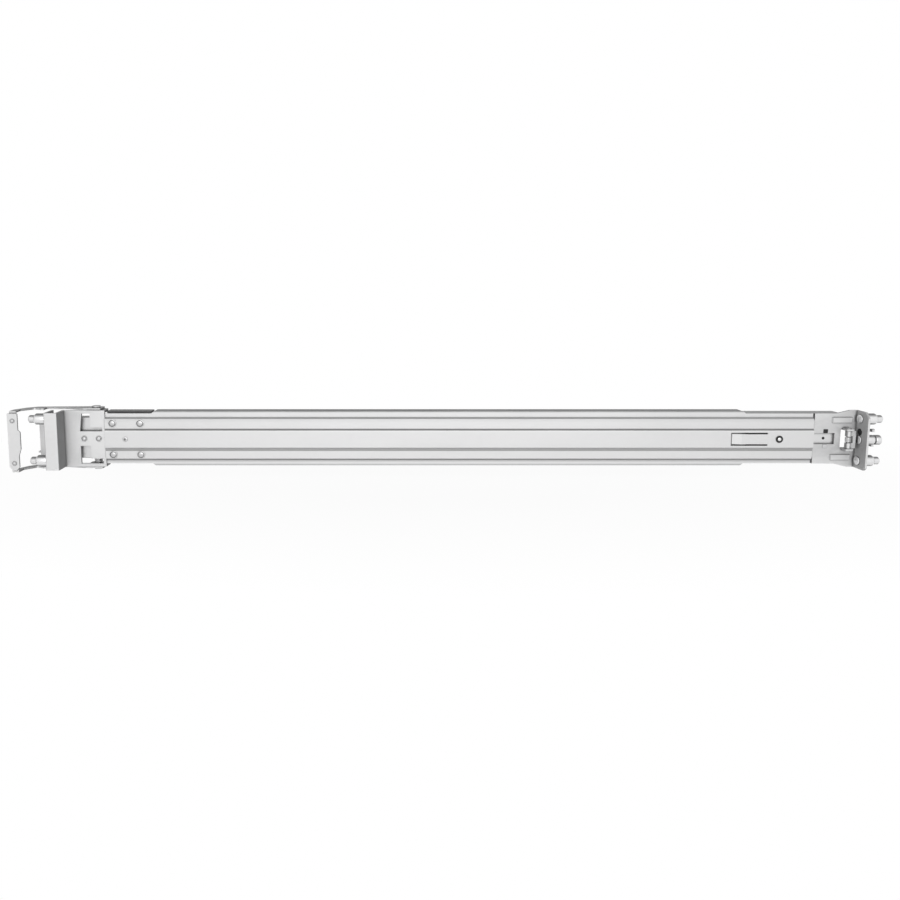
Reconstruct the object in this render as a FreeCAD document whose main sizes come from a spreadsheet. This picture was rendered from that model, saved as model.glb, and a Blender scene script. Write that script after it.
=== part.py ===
import FreeCAD, Part
import math
import Sketcher
import os
import re

# One rail of a sliding server rail pair, in millimetres.
# Origin: centre of the front mounting plane, midway between the two front pins.
# +X runs to the rear of the rack, -Y faces the rack post, +Z is up.

doc = FreeCAD.newDocument("ServerRail")
sheet = doc.addObject("Spreadsheet::Sheet", "Sizes")

SIZES = [
    # rack interface
    ("hole_pitch", 15.875, "rack hole spacing"),
    ("post_distance", 609.6, "front to rear mounting plane, rail closed up"),
    # support channel
    ("channel_start", 41.0, "front end of the support channel"),
    ("rear_room", 34.1, "channel end ahead of the rear mounting plane"),
    ("channel_wall", 1.2, "support channel sheet"),
    ("centre_band_near", 1.8, "outboard face of the centre band"),
    ("band_step", 1.2, "centre band proud of the outer bands"),
    ("centre_band_half", 7.6, "half height of the centre band at its root"),
    ("band_slope", 1.1, "run of the step beside the centre band"),
    ("outer_band_half", 15.2, "half height over the outer bands"),
    ("lip_slope", 1.5, "run of the step beside the outer bands"),
    ("channel_half", 20.8, "half height of the wide section"),
    ("channel_end_half", 19.2, "half height of the narrow ends"),
    ("channel_flange", 10.2, "depth of the top and bottom flanges"),
    ("narrow_front", 34.7, "narrow section at the front"),
    ("narrow_rear", 50.8, "narrow section at the rear"),
    ("wide_corner", 3.5, "run of the corner transitions"),
    ("channel_round", 0.45, "bend radius seen outside"),
    ("tongue_back", 34.7, "root of the lanced tongue ahead of the channel end"),
    ("tongue_length", 26.6, "lanced tongue length"),
    ("tongue_half", 3.9, "half height of the lanced tongue"),
    ("tongue_slot", 1.1, "slot round the lanced tongue"),
    ("tongue_bend", 7.0, "length of the bent tongue tip"),
    # extension plate in its pocket
    ("extension_wall", 1.5, "extension plate sheet"),
    ("plate_gap", 0.15, "running gap on each side of the extension plate"),
    ("side_gap", 0.35, "running gap above and below the extension plate"),
    # slide
    ("slide_inset", 1.5, "front end of the slide behind the channel's"),
    ("slide_room", 13.6, "slide end ahead of the rear mounting plane"),
    ("slide_wall", 1.2, "outer slide member sheet"),
    ("slide_depth", 10.0, "outer slide member depth"),
    ("slide_fit", 0.2, "gap between slide and channel flange"),
    ("tongue_front", 20.0, "front end of the slide web tongue"),
    ("tongue_web_half", 4.6, "half height of the slide web tongue"),
    ("cage_wall", 0.5, "ball cage sheet"),
    ("cage_gap", 0.15, "gap on each side of a ball cage"),
    ("ball_radius", 1.2, "outer row ball"),
    ("inner_ball_radius", 1.2, "inner row ball"),
    ("ball_gap", 0.03, "ball running clearance"),
    ("ball_end", 15.0, "last ball from the cage end"),
    ("middle_front", 10.5, "middle member ahead of the mounting plane"),
    ("middle_room", 60.5, "middle member end ahead of the slide end"),
    ("middle_wall", 1.1, "middle member sheet"),
    ("middle_depth", 7.0, "middle member depth"),
    ("inner_front", 13.1, "inner member ahead of the mounting plane"),
    ("inner_room", 19.6, "inner member end ahead of the middle one's"),
    ("inner_wall", 1.2, "inner member sheet"),
    ("inner_depth", 6.8, "inner member depth"),
    ("member_gap", 0.6, "gap between middle member and inner web"),
    ("travel", 430.0, "travel of each slide stage"),
    ("cage_inset", 2.0, "outer cage end ahead of the middle member's"),
    ("inner_cage_inset", 30.4, "inner cage end ahead of the inner member's"),
    ("cage_start_gap", 1.0, "cage clear of its race's front end when drawn out"),
    ("lip_gap", 0.3, "gap between outer lips and middle member"),
    ("bumper_length", 8.0, "closing bumper along the rail"),
    ("bumper_half", 8.0, "closing bumper half height"),
    ("bumper_depth", 6.0, "closing bumper depth"),
    ("rest_gap", 0.3, "gap between pieces of different bodies"),
    # server stud keyholes
    ("stud_first", 30.0, "first keyhole"),
    ("stud_last", 55.9, "last keyhole from the rear end"),
    ("stud_entry", 4.6, "keyhole entry radius"),
    ("stud_half", 2.4, "keyhole slot half width"),
    ("stud_run", 13.0, "keyhole slot run"),
    # release lever
    ("lever_pivot", 150.0, "release lever pivot"),
    ("lever_length", 62.0, "release lever reach ahead of the pivot"),
    ("lever_half", 3.4, "release lever half height"),
    ("lever_wall", 1.2, "release lever sheet"),
    # front bracket
    ("bracket_half", 21.6, "half height of the front bracket"),
    ("bracket_near", 8.5, "front bracket reach outboard"),
    ("bracket_box", 10.0, "depth of the front box section"),
    ("bracket_round", 1.0, "front bracket bend radius"),
    ("bracket_tail", 35.0, "bracket tail under the channel"),
    ("flange_window", 2.7, "radius of the round window in the rear flange"),
    ("flange_window_set", 0.5, "outboard place of that window"),
    ("flange_window_rise", 6.0, "height of that window above the middle pin"),
    ("window_length", 16.9, "bracket windows along the rail"),
    ("window_rim", 2.1, "bracket plate behind the windows"),
    ("window_narrow", 9.2, "narrow part of the bracket windows"),
    ("window_low", 5.6, "inner edge of the bracket windows"),
    ("window_high", 19.2, "outer edge of the bracket windows"),
    ("window_step", 8.8, "step height of the upper window"),
    ("pocket_step", 15.4, "step height of the lower window"),
    ("lug_depth", 9.0, "latch lug depth"),
    ("lug_width", 14.2, "latch lug along the rail"),
    # front and rear pins
    ("pin_radius", 4.2, "pin body"),
    ("pin_body", 9.8, "pin body length"),
    ("pin_tip_radius", 2.9, "pin tip"),
    ("pin_tip", 4.6, "pin tip length"),
    ("pin_taper", 0.7, "pin edge chamfer"),
    ("pin_stem", 2.4, "pin stem through the sheet"),
    ("pin_tail_radius", 3.3, "riveted pin tail"),
    ("pin_tail", 0.9, "riveted pin tail height"),
    ("hole_gap", 0.05, "clearance round stems and rivets"),
    ("centre_pin_radius", 3.7, "rear centre pin"),
    ("centre_pin_length", 14.4, "rear centre pin length"),
    # rivets and screw
    ("rivet_radius", 2.8, "rivet head"),
    ("rivet_head", 0.9, "rivet head height"),
    ("rivet_shank", 1.6, "rivet shank"),
    ("rivet_inset", 5.7, "first rivet column from the channel end"),
    ("rivet_pitch", 20.9, "spacing of the rivet columns"),
    ("rivet_edge", 3.2, "rivet centre inside the outer band's edge"),
    ("screw_inset", 15.4, "centre screw from the channel end"),
    ("screw_radius", 1.9, "centre screw head"),
    ("screw_head", 0.7, "centre screw head height"),
    ("screw_shank", 1.1, "centre screw shank"),
    ("stub_inset", 5.1, "rear bracket band rivet from the plate end"),
    ("stub_pitch", 11.0, "spacing of the bracket band rivets"),
    ("stub_radius", 2.1, "bracket band rivet head"),
    ("stub_shank", 1.2, "bracket band rivet shank"),
    ("guide_back", 26.0, "guide rivet ahead of the channel end"),
    ("guide_radius", 2.3, "guide rivet head"),
    ("guide_bush", 3.9, "guide rivet bush"),
    ("guide_shank", 1.4, "guide rivet shank"),
    # front latch
    ("pivot_inset", 8.0, "latch pivot from the plate end"),
    ("latch_pivot_reach", 10.2, "latch pivot inboard of the pins"),
    ("latch_wall", 1.2, "latch arm sheet"),
    ("latch_gap", 0.3, "gap between lug and arm"),
    ("latch_shank", 2.0, "latch pivot shank"),
    ("latch_head", 3.2, "latch pivot head"),
    ("latch_head_high", 0.9, "latch pivot head height"),
    ("latch_inside", 3.6, "latch pivot length inside the lug"),
    ("running_gap", 0.05, "running clearance of a pivot"),
    ("catch_face", 4.6, "catching face ahead of the mounting plane"),
    ("catch_length", 8.0, "length of the catching tooth"),
    ("catch_reach", 3.6, "tooth tip inboard of the pin axis"),
    ("arm_near", 8.5, "outboard edge of the arms beside the post"),
    ("arm_far", 13.2, "inboard edge of the arms"),
    ("arm_rear", 5.0, "arm end behind the pivot"),
    ("handle_near", 9.0, "outboard face of the pull plate"),
    ("handle_front", 26.4, "front edge of the pull plate"),
    ("handle_width", 7.4, "pull plate width"),
    ("handle_bump", 1.6, "wider middle of the pull plate"),
    ("handle_half", 21.4, "pull plate half height"),
    ("handle_cut", 2.5, "pull plate corner cut"),
    ("tab_depth", 10.5, "arm tab behind the pull plate"),
    ("tab_inset", 1.2, "arm tab inside the pull plate edges"),
    ("handle_rivet_rise", 16.0, "pull plate rivet height"),
    ("handle_rivet", 1.7, "pull plate rivet head"),
    ("handle_stem", 1.0, "pull plate rivet stem"),
    ("spring_wire", 0.7, "latch spring wire"),
    ("spring_gap", 0.25, "gap between spring and pivot"),
    # rear extension
    ("adjust_range", 304.8, "depth adjustment of the rear end"),
    ("extension_nose", 49.8, "extension plate ahead of its slot"),
    ("extension_half", 19.3, "half height behind the channel"),
    ("extension_clear", 1.2, "gap between channel end and the tall plate"),
    ("flare_back", 16.8, "start of the flare ahead of the rear plane"),
    ("flare_run", 10.4, "length of the flare"),
    ("flange_half", 21.8, "rear flange half height"),
    ("flange_near", 9.5, "rear flange reach outboard"),
    ("flange_cut", 4.0, "rear flange corner cut"),
    ("slot_back", 17.2, "rear end of the guide slot ahead of the rear plane"),
    ("slot_gap", 0.4, "guide slot clear of the bush"),
    ("rib_back", 20.1, "front end of the stiffening ribs ahead of the rear plane"),
    ("rib_length", 16.0, "stiffening rib length"),
    ("rib_half", 1.9, "stiffening rib half height"),
    ("rib_rise", 14.3, "stiffening rib height above the centre"),
    ("rib_high", 0.9, "stiffening rib proud of the plate"),
    # rear latch
    ("hinge_back", 9.0, "rear latch hinge ahead of the rear plane"),
    ("hinge_reach", 0.9, "rear latch hinge inboard of the pins"),
    ("hinge_pin", 1.2, "rear latch hinge pin"),
    ("hinge_barrel", 2.1, "rear latch barrel"),
    ("hinge_half", 6.6, "rear latch half height"),
    ("hinge_lug", 1.3, "hinge lug sheet"),
    ("hinge_lug_half", 2.7, "hinge lug half length"),
    ("hinge_head", 1.9, "hinge pin head"),
    ("hinge_head_high", 0.5, "hinge pin head height"),
    ("leaf_wall", 1.2, "rear latch sheet"),
    ("leaf_far", 8.4, "outboard face of the rear latch fingers"),
    ("leaf_reach", 15.4, "rear latch fingers behind the rear plane"),
    ("leaf_catch", 2.4, "rear latch tooth depth"),
    ("leaf_tooth", 3.0, "rear latch tooth length"),
    ("leaf_open", 4.6, "half height of the gap between the fingers"),
    ("spring_room", 2.6, "half height of the rear spring gap"),
]

for row, (name, value, note) in enumerate(SIZES, start=1):
    sheet.set(f"A{row}", name)
    sheet.set(f"B{row}", str(value))
    sheet.set(f"C{row}", note)
    sheet.setAlias(f"B{row}", name)
doc.recompute()

WORD = re.compile(r"(?<![\w.])([a-z]\w*)(?!\w|\()")


def bound(text):
    # an expression on the sheet's cells
    return WORD.sub(r"Sizes.\1", text)


def size(text):
    # the present value of such an expression
    result = sheet.evalExpression(bound(text))
    return float(getattr(result, "Value", result))


def new_body(label):
    body = doc.addObject("PartDesign::Body", label)
    body.Label = label
    body.AllowCompound = True
    return body


def origin_part(body, role):
    for feature in body.Origin.OriginFeatures:
        if feature.Role == role:
            return feature
    raise ValueError(role)


def new_sketch(body, plane, place):
    sketch = body.newObject("Sketcher::SketchObject", "Sketch")
    sketch.AttachmentSupport = [(origin_part(body, plane + "_Plane"), "")]
    sketch.MapMode = "FlatFace"
    sketch.setExpression("AttachmentOffset.Base.z", bound(place))
    return sketch


def add_polygon(sketch, points):
    spots = [FreeCAD.Vector(size(u), size(v), 0) for u, v in points]
    count = len(spots)
    lines = [Part.LineSegment(spots[i], spots[(i + 1) % count]) for i in range(count)]
    first = sketch.addGeometry(lines, False)[0]
    for i in range(count):
        after = first + (i + 1) % count
        sketch.addConstraint(Sketcher.Constraint("Coincident", first + i, 2, after, 1))
    for i, (u, v) in enumerate(points):
        fix(sketch, "DistanceX", first + i, 1, u, spots[i].x)
        fix(sketch, "DistanceY", first + i, 1, v, spots[i].y)


def add_circle(sketch, u, v, radius):
    spot = FreeCAD.Vector(size(u), size(v), 0)
    normal = FreeCAD.Vector(0, 0, 1)
    first = sketch.addGeometry(Part.Circle(spot, normal, size(radius)), False)
    index = sketch.addConstraint(Sketcher.Constraint("Radius", first, size(radius)))
    sketch.setExpression(f"Constraints[{index}]", bound(radius))
    fix(sketch, "DistanceX", first, 3, u, spot.x)
    fix(sketch, "DistanceY", first, 3, v, spot.y)


def fix(sketch, kind, item, end, text, value):
    index = sketch.addConstraint(Sketcher.Constraint(kind, -1, 1, item, end, value))
    sketch.setExpression(f"Constraints[{index}]", bound(text))


def draw(sketch, loops):
    for loop in loops:
        if isinstance(loop, tuple):
            add_circle(sketch, *loop)
        else:
            add_polygon(sketch, loop)


def pad(body, plane, low, high, loops):
    # solid between the coordinates low and high along the plane's normal axis
    place = f"-({high})" if plane == "XZ" else low
    sketch = new_sketch(body, plane, place)
    draw(sketch, loops)
    feature = body.newObject("PartDesign::Pad", "Pad")
    feature.Profile = sketch
    feature.setExpression("Length", bound(f"({high}) - ({low})"))
    doc.recompute()
    return feature


def cut(body, plane, low, high, loops):
    # removes material between the coordinates low and high
    place = f"-({low})" if plane == "XZ" else high
    sketch = new_sketch(body, plane, place)
    draw(sketch, loops)
    feature = body.newObject("PartDesign::Pocket", "Pocket")
    feature.Profile = sketch
    feature.setExpression("Length", bound(f"({high}) - ({low})"))
    doc.recompute()
    return feature


def spin(body, plane, place, axis, loops):
    # a turned solid round one of the sketch's own axes
    sketch = new_sketch(body, plane, place)
    draw(sketch, loops)
    feature = body.newObject("PartDesign::Revolution", "Revolution")
    feature.Profile = sketch
    feature.ReferenceAxis = (sketch, [axis])
    feature.Angle = 360
    doc.recompute()
    return feature


def straight_edges(shape, axis, wanted):
    names = []
    for number, edge in enumerate(shape.Edges, start=1):
        if not isinstance(edge.Curve, Part.Line):
            continue
        way = edge.Vertexes[1].Point - edge.Vertexes[0].Point
        way.normalize()
        if abs(way.dot(axis)) > 0.999 and wanted(edge.CenterOfMass, edge.Length):
            names.append(f"Edge{number}")
    return names


def ring_edges(shape, wanted):
    names = []
    for number, edge in enumerate(shape.Edges, start=1):
        if isinstance(edge.Curve, Part.Circle) and wanted(edge.Curve, edge.CenterOfMass):
            names.append(f"Edge{number}")
    return names


def fillet(body, names, radius, kind="Fillet"):
    base = body.Tip
    feature = body.newObject("PartDesign::" + kind, kind)
    feature.Base = (base, names)
    feature.setExpression("Radius" if kind == "Fillet" else "Size", bound(radius))
    doc.recompute()
    return feature


def rect(u_low, v_low, u_high, v_high):
    return [(u_low, v_low), (u_high, v_low), (u_high, v_high), (u_low, v_high)]


def flip(loop):
    # the same loop mirrored about the rail's mid height
    if isinstance(loop, tuple):
        return (loop[0], f"-({loop[1]})", loop[2])
    return [(u, f"-({v})") for u, v in loop]


def both(loop):
    return [loop, flip(loop)]


def four_rivets(radius):
    return both((RIVETS[0], RIVET_RISE, radius)) + both((RIVETS[1], RIVET_RISE, radius))


ALONG = FreeCAD.Vector(1, 0, 0)
ACROSS = FreeCAD.Vector(0, 1, 0)
UPWARD = FreeCAD.Vector(0, 0, 1)

# places along the rail
CHANNEL_END = "(post_distance - rear_room)"
WIDE_START = "(channel_start + narrow_front)"
WIDE_END = f"({CHANNEL_END} - narrow_rear)"
TONGUE_ROOT = f"({CHANNEL_END} - tongue_back)"
TONGUE_TIP = f"({TONGUE_ROOT} - tongue_length)"
SLIDE_START = "(channel_start + slide_inset)"
SLIDE_END = "(post_distance - slide_room)"
MIDDLE_END = f"({SLIDE_END} - middle_room)"
INNER_END = f"({MIDDLE_END} - inner_room)"
TALL_END = "(channel_start - rest_gap)"
WINDOW_REAR = f"({TALL_END} - window_rim)"
WINDOW_FRONT = f"({WINDOW_REAR} - window_length)"
WINDOW_MID = f"({WINDOW_REAR} - window_narrow)"
PIVOT = f"({TALL_END} - pivot_inset)"
RIVETS = ["(channel_start + rivet_inset)", "(channel_start + rivet_inset + rivet_pitch)"]
RIVET_RISE = "(outer_band_half - rivet_edge)"
SCREW = "(channel_start + screw_inset)"
STUBS = [f"({TALL_END} - stub_inset - stub_pitch)", f"({TALL_END} - stub_inset)"]
GUIDE = f"({CHANNEL_END} - guide_back)"
SLOT_HALF = "(guide_bush + slot_gap)"
SLOT_FRONT = f"({GUIDE} - adjust_range - {SLOT_HALF} - slot_gap)"
SLOT_REAR = "(post_distance - slot_back)"
EXTENSION_START = f"({SLOT_FRONT} - extension_nose)"
RIB_START = "(post_distance - rib_back)"
HINGE = "(post_distance - hinge_back)"
LEAF_TIP = "(post_distance + leaf_reach)"

# faces of the stack, from the outboard side inwards
BAND_NEAR = "(centre_band_near + band_step)"
BAND_FAR = f"({BAND_NEAR} + channel_wall)"
POCKET_FAR = f"({BAND_FAR} + extension_wall + 2 * plate_gap)"
LIP_NEAR = f"({POCKET_FAR} - channel_wall)"
LIP_FOOT = "(outer_band_half + lip_slope)"
FLANGE_FAR = f"({LIP_NEAR} + channel_flange)"
PLATE_NEAR = f"({BAND_FAR} + plate_gap)"
PLATE_FAR = f"({PLATE_NEAR} + extension_wall)"
PLATE_HALF = "(outer_band_half - 0.5 * lip_slope - side_gap)"
BRACKET_WALL = f"({POCKET_FAR} - {BAND_FAR})"
WEB_NEAR = POCKET_FAR
WEB_FAR = f"({WEB_NEAR} + slide_wall)"
SLIDE_FAR = f"({WEB_NEAR} + slide_depth)"
SLIDE_HALF = "(channel_half - channel_wall - slide_fit)"
TRACK = f"({SLIDE_HALF} - slide_wall)"
BALL_HIGH = f"({TRACK} - ball_radius - ball_gap)"
MIDDLE_HALF = f"({TRACK} - 2 * (ball_radius + ball_gap))"
MIDDLE_NEAR = f"({WEB_FAR} + cage_wall + 2 * cage_gap)"
MIDDLE_WEB = f"({MIDDLE_NEAR} + middle_wall)"
MIDDLE_FAR = f"({MIDDLE_NEAR} + middle_depth)"
INNER_TRACK = f"({MIDDLE_HALF} - middle_wall)"
INNER_BALL_HIGH = f"({INNER_TRACK} - inner_ball_radius - ball_gap)"
INNER_HALF = f"({INNER_TRACK} - 2 * (inner_ball_radius + ball_gap))"
INNER_WEB = f"({MIDDLE_FAR} + member_gap)"
INNER_FAR = f"({INNER_WEB} + inner_wall)"
INNER_NEAR = f"({INNER_FAR} - inner_depth)"
BALL_DEEP = f"(0.5 * ({WEB_FAR} + {SLIDE_FAR} - slide_wall))"
INNER_BALL_DEEP = f"(0.5 * ({MIDDLE_WEB} + {INNER_WEB}))"

# support channel: stepped profile, narrow ends, lanced tongue
channel = new_body("support_channel")
HALF_NEAR = [
    ("centre_band_near", "centre_band_half - band_slope"),
    (BAND_NEAR, "centre_band_half"),
    (BAND_NEAR, "outer_band_half"),
    (LIP_NEAR, LIP_FOOT),
    (LIP_NEAR, "channel_half"),
    (FLANGE_FAR, "channel_half"),
]
HALF_FAR = [
    (FLANGE_FAR, "channel_half - channel_wall"),
    (POCKET_FAR, "channel_half - channel_wall"),
    (POCKET_FAR, f"{LIP_FOOT} - 0.4 * channel_wall"),
    (BAND_FAR, "outer_band_half - 0.4 * channel_wall"),
    (BAND_FAR, "centre_band_half - 0.4 * channel_wall"),
    ("centre_band_near + channel_wall", "centre_band_half - band_slope - 0.4 * channel_wall"),
]
PROFILE = HALF_NEAR + HALF_FAR + [(u, f"-({v})") for u, v in reversed(HALF_FAR)]
PROFILE = PROFILE + [(u, f"-({v})") for u, v in reversed(HALF_NEAR)]
pad(channel, "YZ", "channel_start", CHANNEL_END, [PROFILE])
bends = straight_edges(
    channel.Tip.Shape, ALONG,
    lambda spot, length: spot.y < size(POCKET_FAR) - 0.01,
)
fillet(channel, bends, "channel_round")
FRONT_STEP = [
    ("channel_start - 1", "channel_end_half"),
    (WIDE_START, "channel_end_half"),
    (f"{WIDE_START} + wide_corner", "channel_half + 1"),
    ("channel_start - 1", "channel_half + 1"),
]
REAR_STEP = [
    (f"{CHANNEL_END} + 1", "channel_end_half"),
    (WIDE_END, "channel_end_half"),
    (f"{WIDE_END} - wide_corner", "channel_half + 1"),
    (f"{CHANNEL_END} + 1", "channel_half + 1"),
]
cut(channel, "XZ", "0", f"{FLANGE_FAR} + 1", both(FRONT_STEP) + both(REAR_STEP))
cut(channel, "XZ", "0", f"{BAND_FAR}", [
    rect(f"{TONGUE_TIP} - tongue_slot", "-(tongue_half + tongue_slot)",
         TONGUE_ROOT, "tongue_half + tongue_slot"),
    (SCREW, "0", "screw_shank + hole_gap"),
    (GUIDE, "0", "guide_shank + hole_gap"),
])
cut(channel, "XZ", "0", f"{BAND_FAR} + 0.5",
    four_rivets("rivet_shank + hole_gap"))
TONGUE = [
    (TONGUE_ROOT, "centre_band_near"),
    (TONGUE_ROOT, "centre_band_near + channel_wall"),
    (f"{TONGUE_TIP} + tongue_bend", "centre_band_near + channel_wall"),
    (TONGUE_TIP, "centre_band_near + channel_wall + 0.9 * band_step"),
    (TONGUE_TIP, "centre_band_near + 0.9 * band_step"),
    (f"{TONGUE_TIP} + tongue_bend", "centre_band_near"),
]
pad(channel, "XY", "-tongue_half", "tongue_half", [TONGUE])

# front bracket: box section at the front, windowed plate, tail under the channel
bracket = new_body("front_bracket")
BOX = [
    ("bracket_box + 3", POCKET_FAR),
    (f"bracket_box - {BRACKET_WALL}", POCKET_FAR),
    (f"bracket_box - {BRACKET_WALL}", f"{BRACKET_WALL} - bracket_near"),
    (BRACKET_WALL, f"{BRACKET_WALL} - bracket_near"),
    (BRACKET_WALL, POCKET_FAR),
    ("0", POCKET_FAR),
    ("0", "-bracket_near"),
    ("bracket_box", "-bracket_near"),
    ("bracket_box", BAND_FAR),
    ("bracket_box + 3", BAND_FAR),
]
pad(bracket, "XY", "-bracket_half", "bracket_half", [BOX])
corners = straight_edges(
    bracket.Tip.Shape, UPWARD,
    lambda spot, length: spot.y < 0 and (spot.x < 0.01 or spot.x > size("bracket_box") - 0.01),
)
fillet(bracket, corners, "bracket_round")
PLATE = [
    ("bracket_box + 2", "-bracket_half"),
    (TALL_END, "-bracket_half"),
    (TALL_END, f"-{PLATE_HALF}"),
    ("channel_start + bracket_tail", f"-{PLATE_HALF}"),
    ("channel_start + bracket_tail", PLATE_HALF),
    (TALL_END, PLATE_HALF),
    (TALL_END, "bracket_half"),
    ("bracket_box + 2", "bracket_half"),
]
pad(bracket, "XZ", BAND_FAR, POCKET_FAR, [PLATE])
LUG = rect(f"{TALL_END} - lug_width", f"bracket_half - {BRACKET_WALL}", TALL_END, "bracket_half")
pad(bracket, "XZ", BAND_FAR, f"{POCKET_FAR} + lug_depth", both(LUG))
lug_corners = straight_edges(
    bracket.Tip.Shape, UPWARD,
    lambda spot, length: spot.y > size(f"{POCKET_FAR} + lug_depth") - 0.01,
)
fillet(bracket, lug_corners, "2.5 * bracket_round")
UPPER_WINDOW = [
    (WINDOW_FRONT, "window_low"),
    (WINDOW_REAR, "window_low"),
    (WINDOW_REAR, "window_step"),
    (WINDOW_MID, "window_step"),
    (WINDOW_MID, "window_high"),
    (f"{WINDOW_FRONT} + 1.5", "window_high"),
]
LOWER_WINDOW = [
    (WINDOW_FRONT, "-window_low"),
    (WINDOW_MID, "-window_low"),
    (WINDOW_MID, "-pocket_step"),
    (WINDOW_REAR, "-pocket_step"),
    (WINDOW_REAR, "-window_high"),
    (WINDOW_FRONT, "-window_high"),
]
cut(bracket, "XZ", f"{BAND_FAR} - 1", f"{POCKET_FAR}", [UPPER_WINDOW, LOWER_WINDOW])
cut(bracket, "XZ", f"{BAND_FAR} - 1", f"{POCKET_FAR} + 1",
    four_rivets("rivet_shank + hole_gap")
    + [(SCREW, "0", "screw_shank + hole_gap"),
       (STUBS[0], "0", "stub_shank + hole_gap"),
       (STUBS[1], "0", "stub_shank + hole_gap")])
cut(bracket, "YZ", "-1", f"{BRACKET_WALL} + 1", both(("0", "hole_pitch", "pin_stem + hole_gap")))
cut(bracket, "XY", "-bracket_half - 1", "bracket_half + 1",
    [(PIVOT, "latch_pivot_reach", "latch_shank + hole_gap")])

# front pins, riveted through the front wall
pins = new_body("front_pins")
pad(pins, "YZ", "-pin_body", "0", both(("0", "hole_pitch", "pin_radius")))
pad(pins, "YZ", "-(pin_body + pin_tip)", "-pin_body", both(("0", "hole_pitch", "pin_tip_radius")))
pad(pins, "YZ", "0", BRACKET_WALL, both(("0", "hole_pitch", "pin_stem")))
pad(pins, "YZ", BRACKET_WALL, f"{BRACKET_WALL} + pin_tail",
    both(("0", "hole_pitch", "pin_tail_radius")))
rims = ring_edges(pins.Tip.Shape, lambda curve, spot: (
    curve.Center.x < -size("pin_body + pin_tip") + 0.01))
fillet(pins, rims, "pin_taper", "Chamfer")

# rivets and screw through channel, bracket and slide web
rivets = new_body("bracket_rivets")
pad(rivets, "XZ", f"{BAND_NEAR} - rivet_head", BAND_NEAR,
    four_rivets("rivet_radius"))
rims = ring_edges(rivets.Tip.Shape, lambda curve, spot: (
    curve.Center.y < size(f"{BAND_NEAR} - rivet_head") + 0.01))
fillet(rivets, rims, "0.6 * rivet_head", "Chamfer")
pad(rivets, "XZ", BAND_NEAR, WEB_FAR,
    four_rivets("rivet_shank"))

screw = new_body("centre_screw")
pad(screw, "XZ", "centre_band_near - screw_head", "centre_band_near",
    [(SCREW, "0", "screw_radius")])
fillet(screw, ring_edges(screw.Tip.Shape, lambda curve, spot: (
    curve.Center.y < size("centre_band_near - screw_head") + 0.01)), "0.4 * screw_head", "Chamfer")
pad(screw, "XZ", "centre_band_near", WEB_FAR, [(SCREW, "0", "screw_shank")])

stubs = new_body("band_rivets")
pad(stubs, "XZ", f"{BAND_FAR} - rivet_head", BAND_FAR,
    [(x, "0", "stub_radius") for x in STUBS])
fillet(stubs, ring_edges(stubs.Tip.Shape, lambda curve, spot: (
    curve.Center.y < size(f"{BAND_FAR} - rivet_head") + 0.01)), "0.6 * rivet_head", "Chamfer")
pad(stubs, "XZ", BAND_FAR, WEB_FAR,
    [(x, "0", "stub_shank") for x in STUBS])

guide = new_body("guide_rivet")
pad(guide, "XZ", "centre_band_near - screw_head", "centre_band_near",
    [(GUIDE, "0", "guide_radius")])
pad(guide, "XZ", "centre_band_near", WEB_FAR, [(GUIDE, "0", "guide_shank")])
pad(guide, "XZ", "centre_band_near + channel_wall", WEB_NEAR, [(GUIDE, "0", "guide_bush")])
cut(guide, "XZ", "centre_band_near - screw_head - 1", "centre_band_near + 0.5",
    [(GUIDE, "0", "0.6 * guide_shank")])

# outer slide member: C section held in the channel, web tongue forward
outer = new_body("outer_slide_member")
OUTER_HALF_LOOP = [
    (WEB_NEAR, SLIDE_HALF),
    (SLIDE_FAR, SLIDE_HALF),
    (SLIDE_FAR, f"{MIDDLE_HALF} + lip_gap"),
    (f"{SLIDE_FAR} - slide_wall", f"{MIDDLE_HALF} + lip_gap"),
    (f"{SLIDE_FAR} - slide_wall", TRACK),
    (WEB_FAR, TRACK),
]
OUTER_LOOP = OUTER_HALF_LOOP + [(u, f"-({v})") for u, v in reversed(OUTER_HALF_LOOP)]
pad(outer, "YZ", SLIDE_START, SLIDE_END, [OUTER_LOOP])
outer_bends = straight_edges(outer.Tip.Shape, ALONG, lambda spot, length: (
    abs(spot.z) > size(SLIDE_HALF) - 0.01))
fillet(outer, outer_bends, "0.5 * slide_wall")
pad(outer, "XZ", WEB_NEAR, WEB_FAR,
    [rect("tongue_front", "-tongue_web_half", f"{SLIDE_START} + 1", "tongue_web_half")])
cut(outer, "XZ", f"{WEB_NEAR} - 1", f"{WEB_FAR} + 0.5",
    four_rivets("rivet_shank + hole_gap")
    + [(SCREW, "0", "screw_shank + hole_gap"),
       (STUBS[0], "0", "stub_shank + hole_gap"),
       (STUBS[1], "0", "stub_shank + hole_gap"),
       (GUIDE, "0", "guide_shank + hole_gap")])

bumper = new_body("closing_bumper")
pad(bumper, "XZ", WEB_FAR, f"{WEB_FAR} + bumper_depth",
    [rect(f"{MIDDLE_END} + rest_gap", "-bumper_half",
          f"{MIDDLE_END} + rest_gap + bumper_length", "bumper_half")])
fillet(bumper, straight_edges(bumper.Tip.Shape, ACROSS, lambda spot, length: True), "1.5 * bumper_length / 8")

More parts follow.
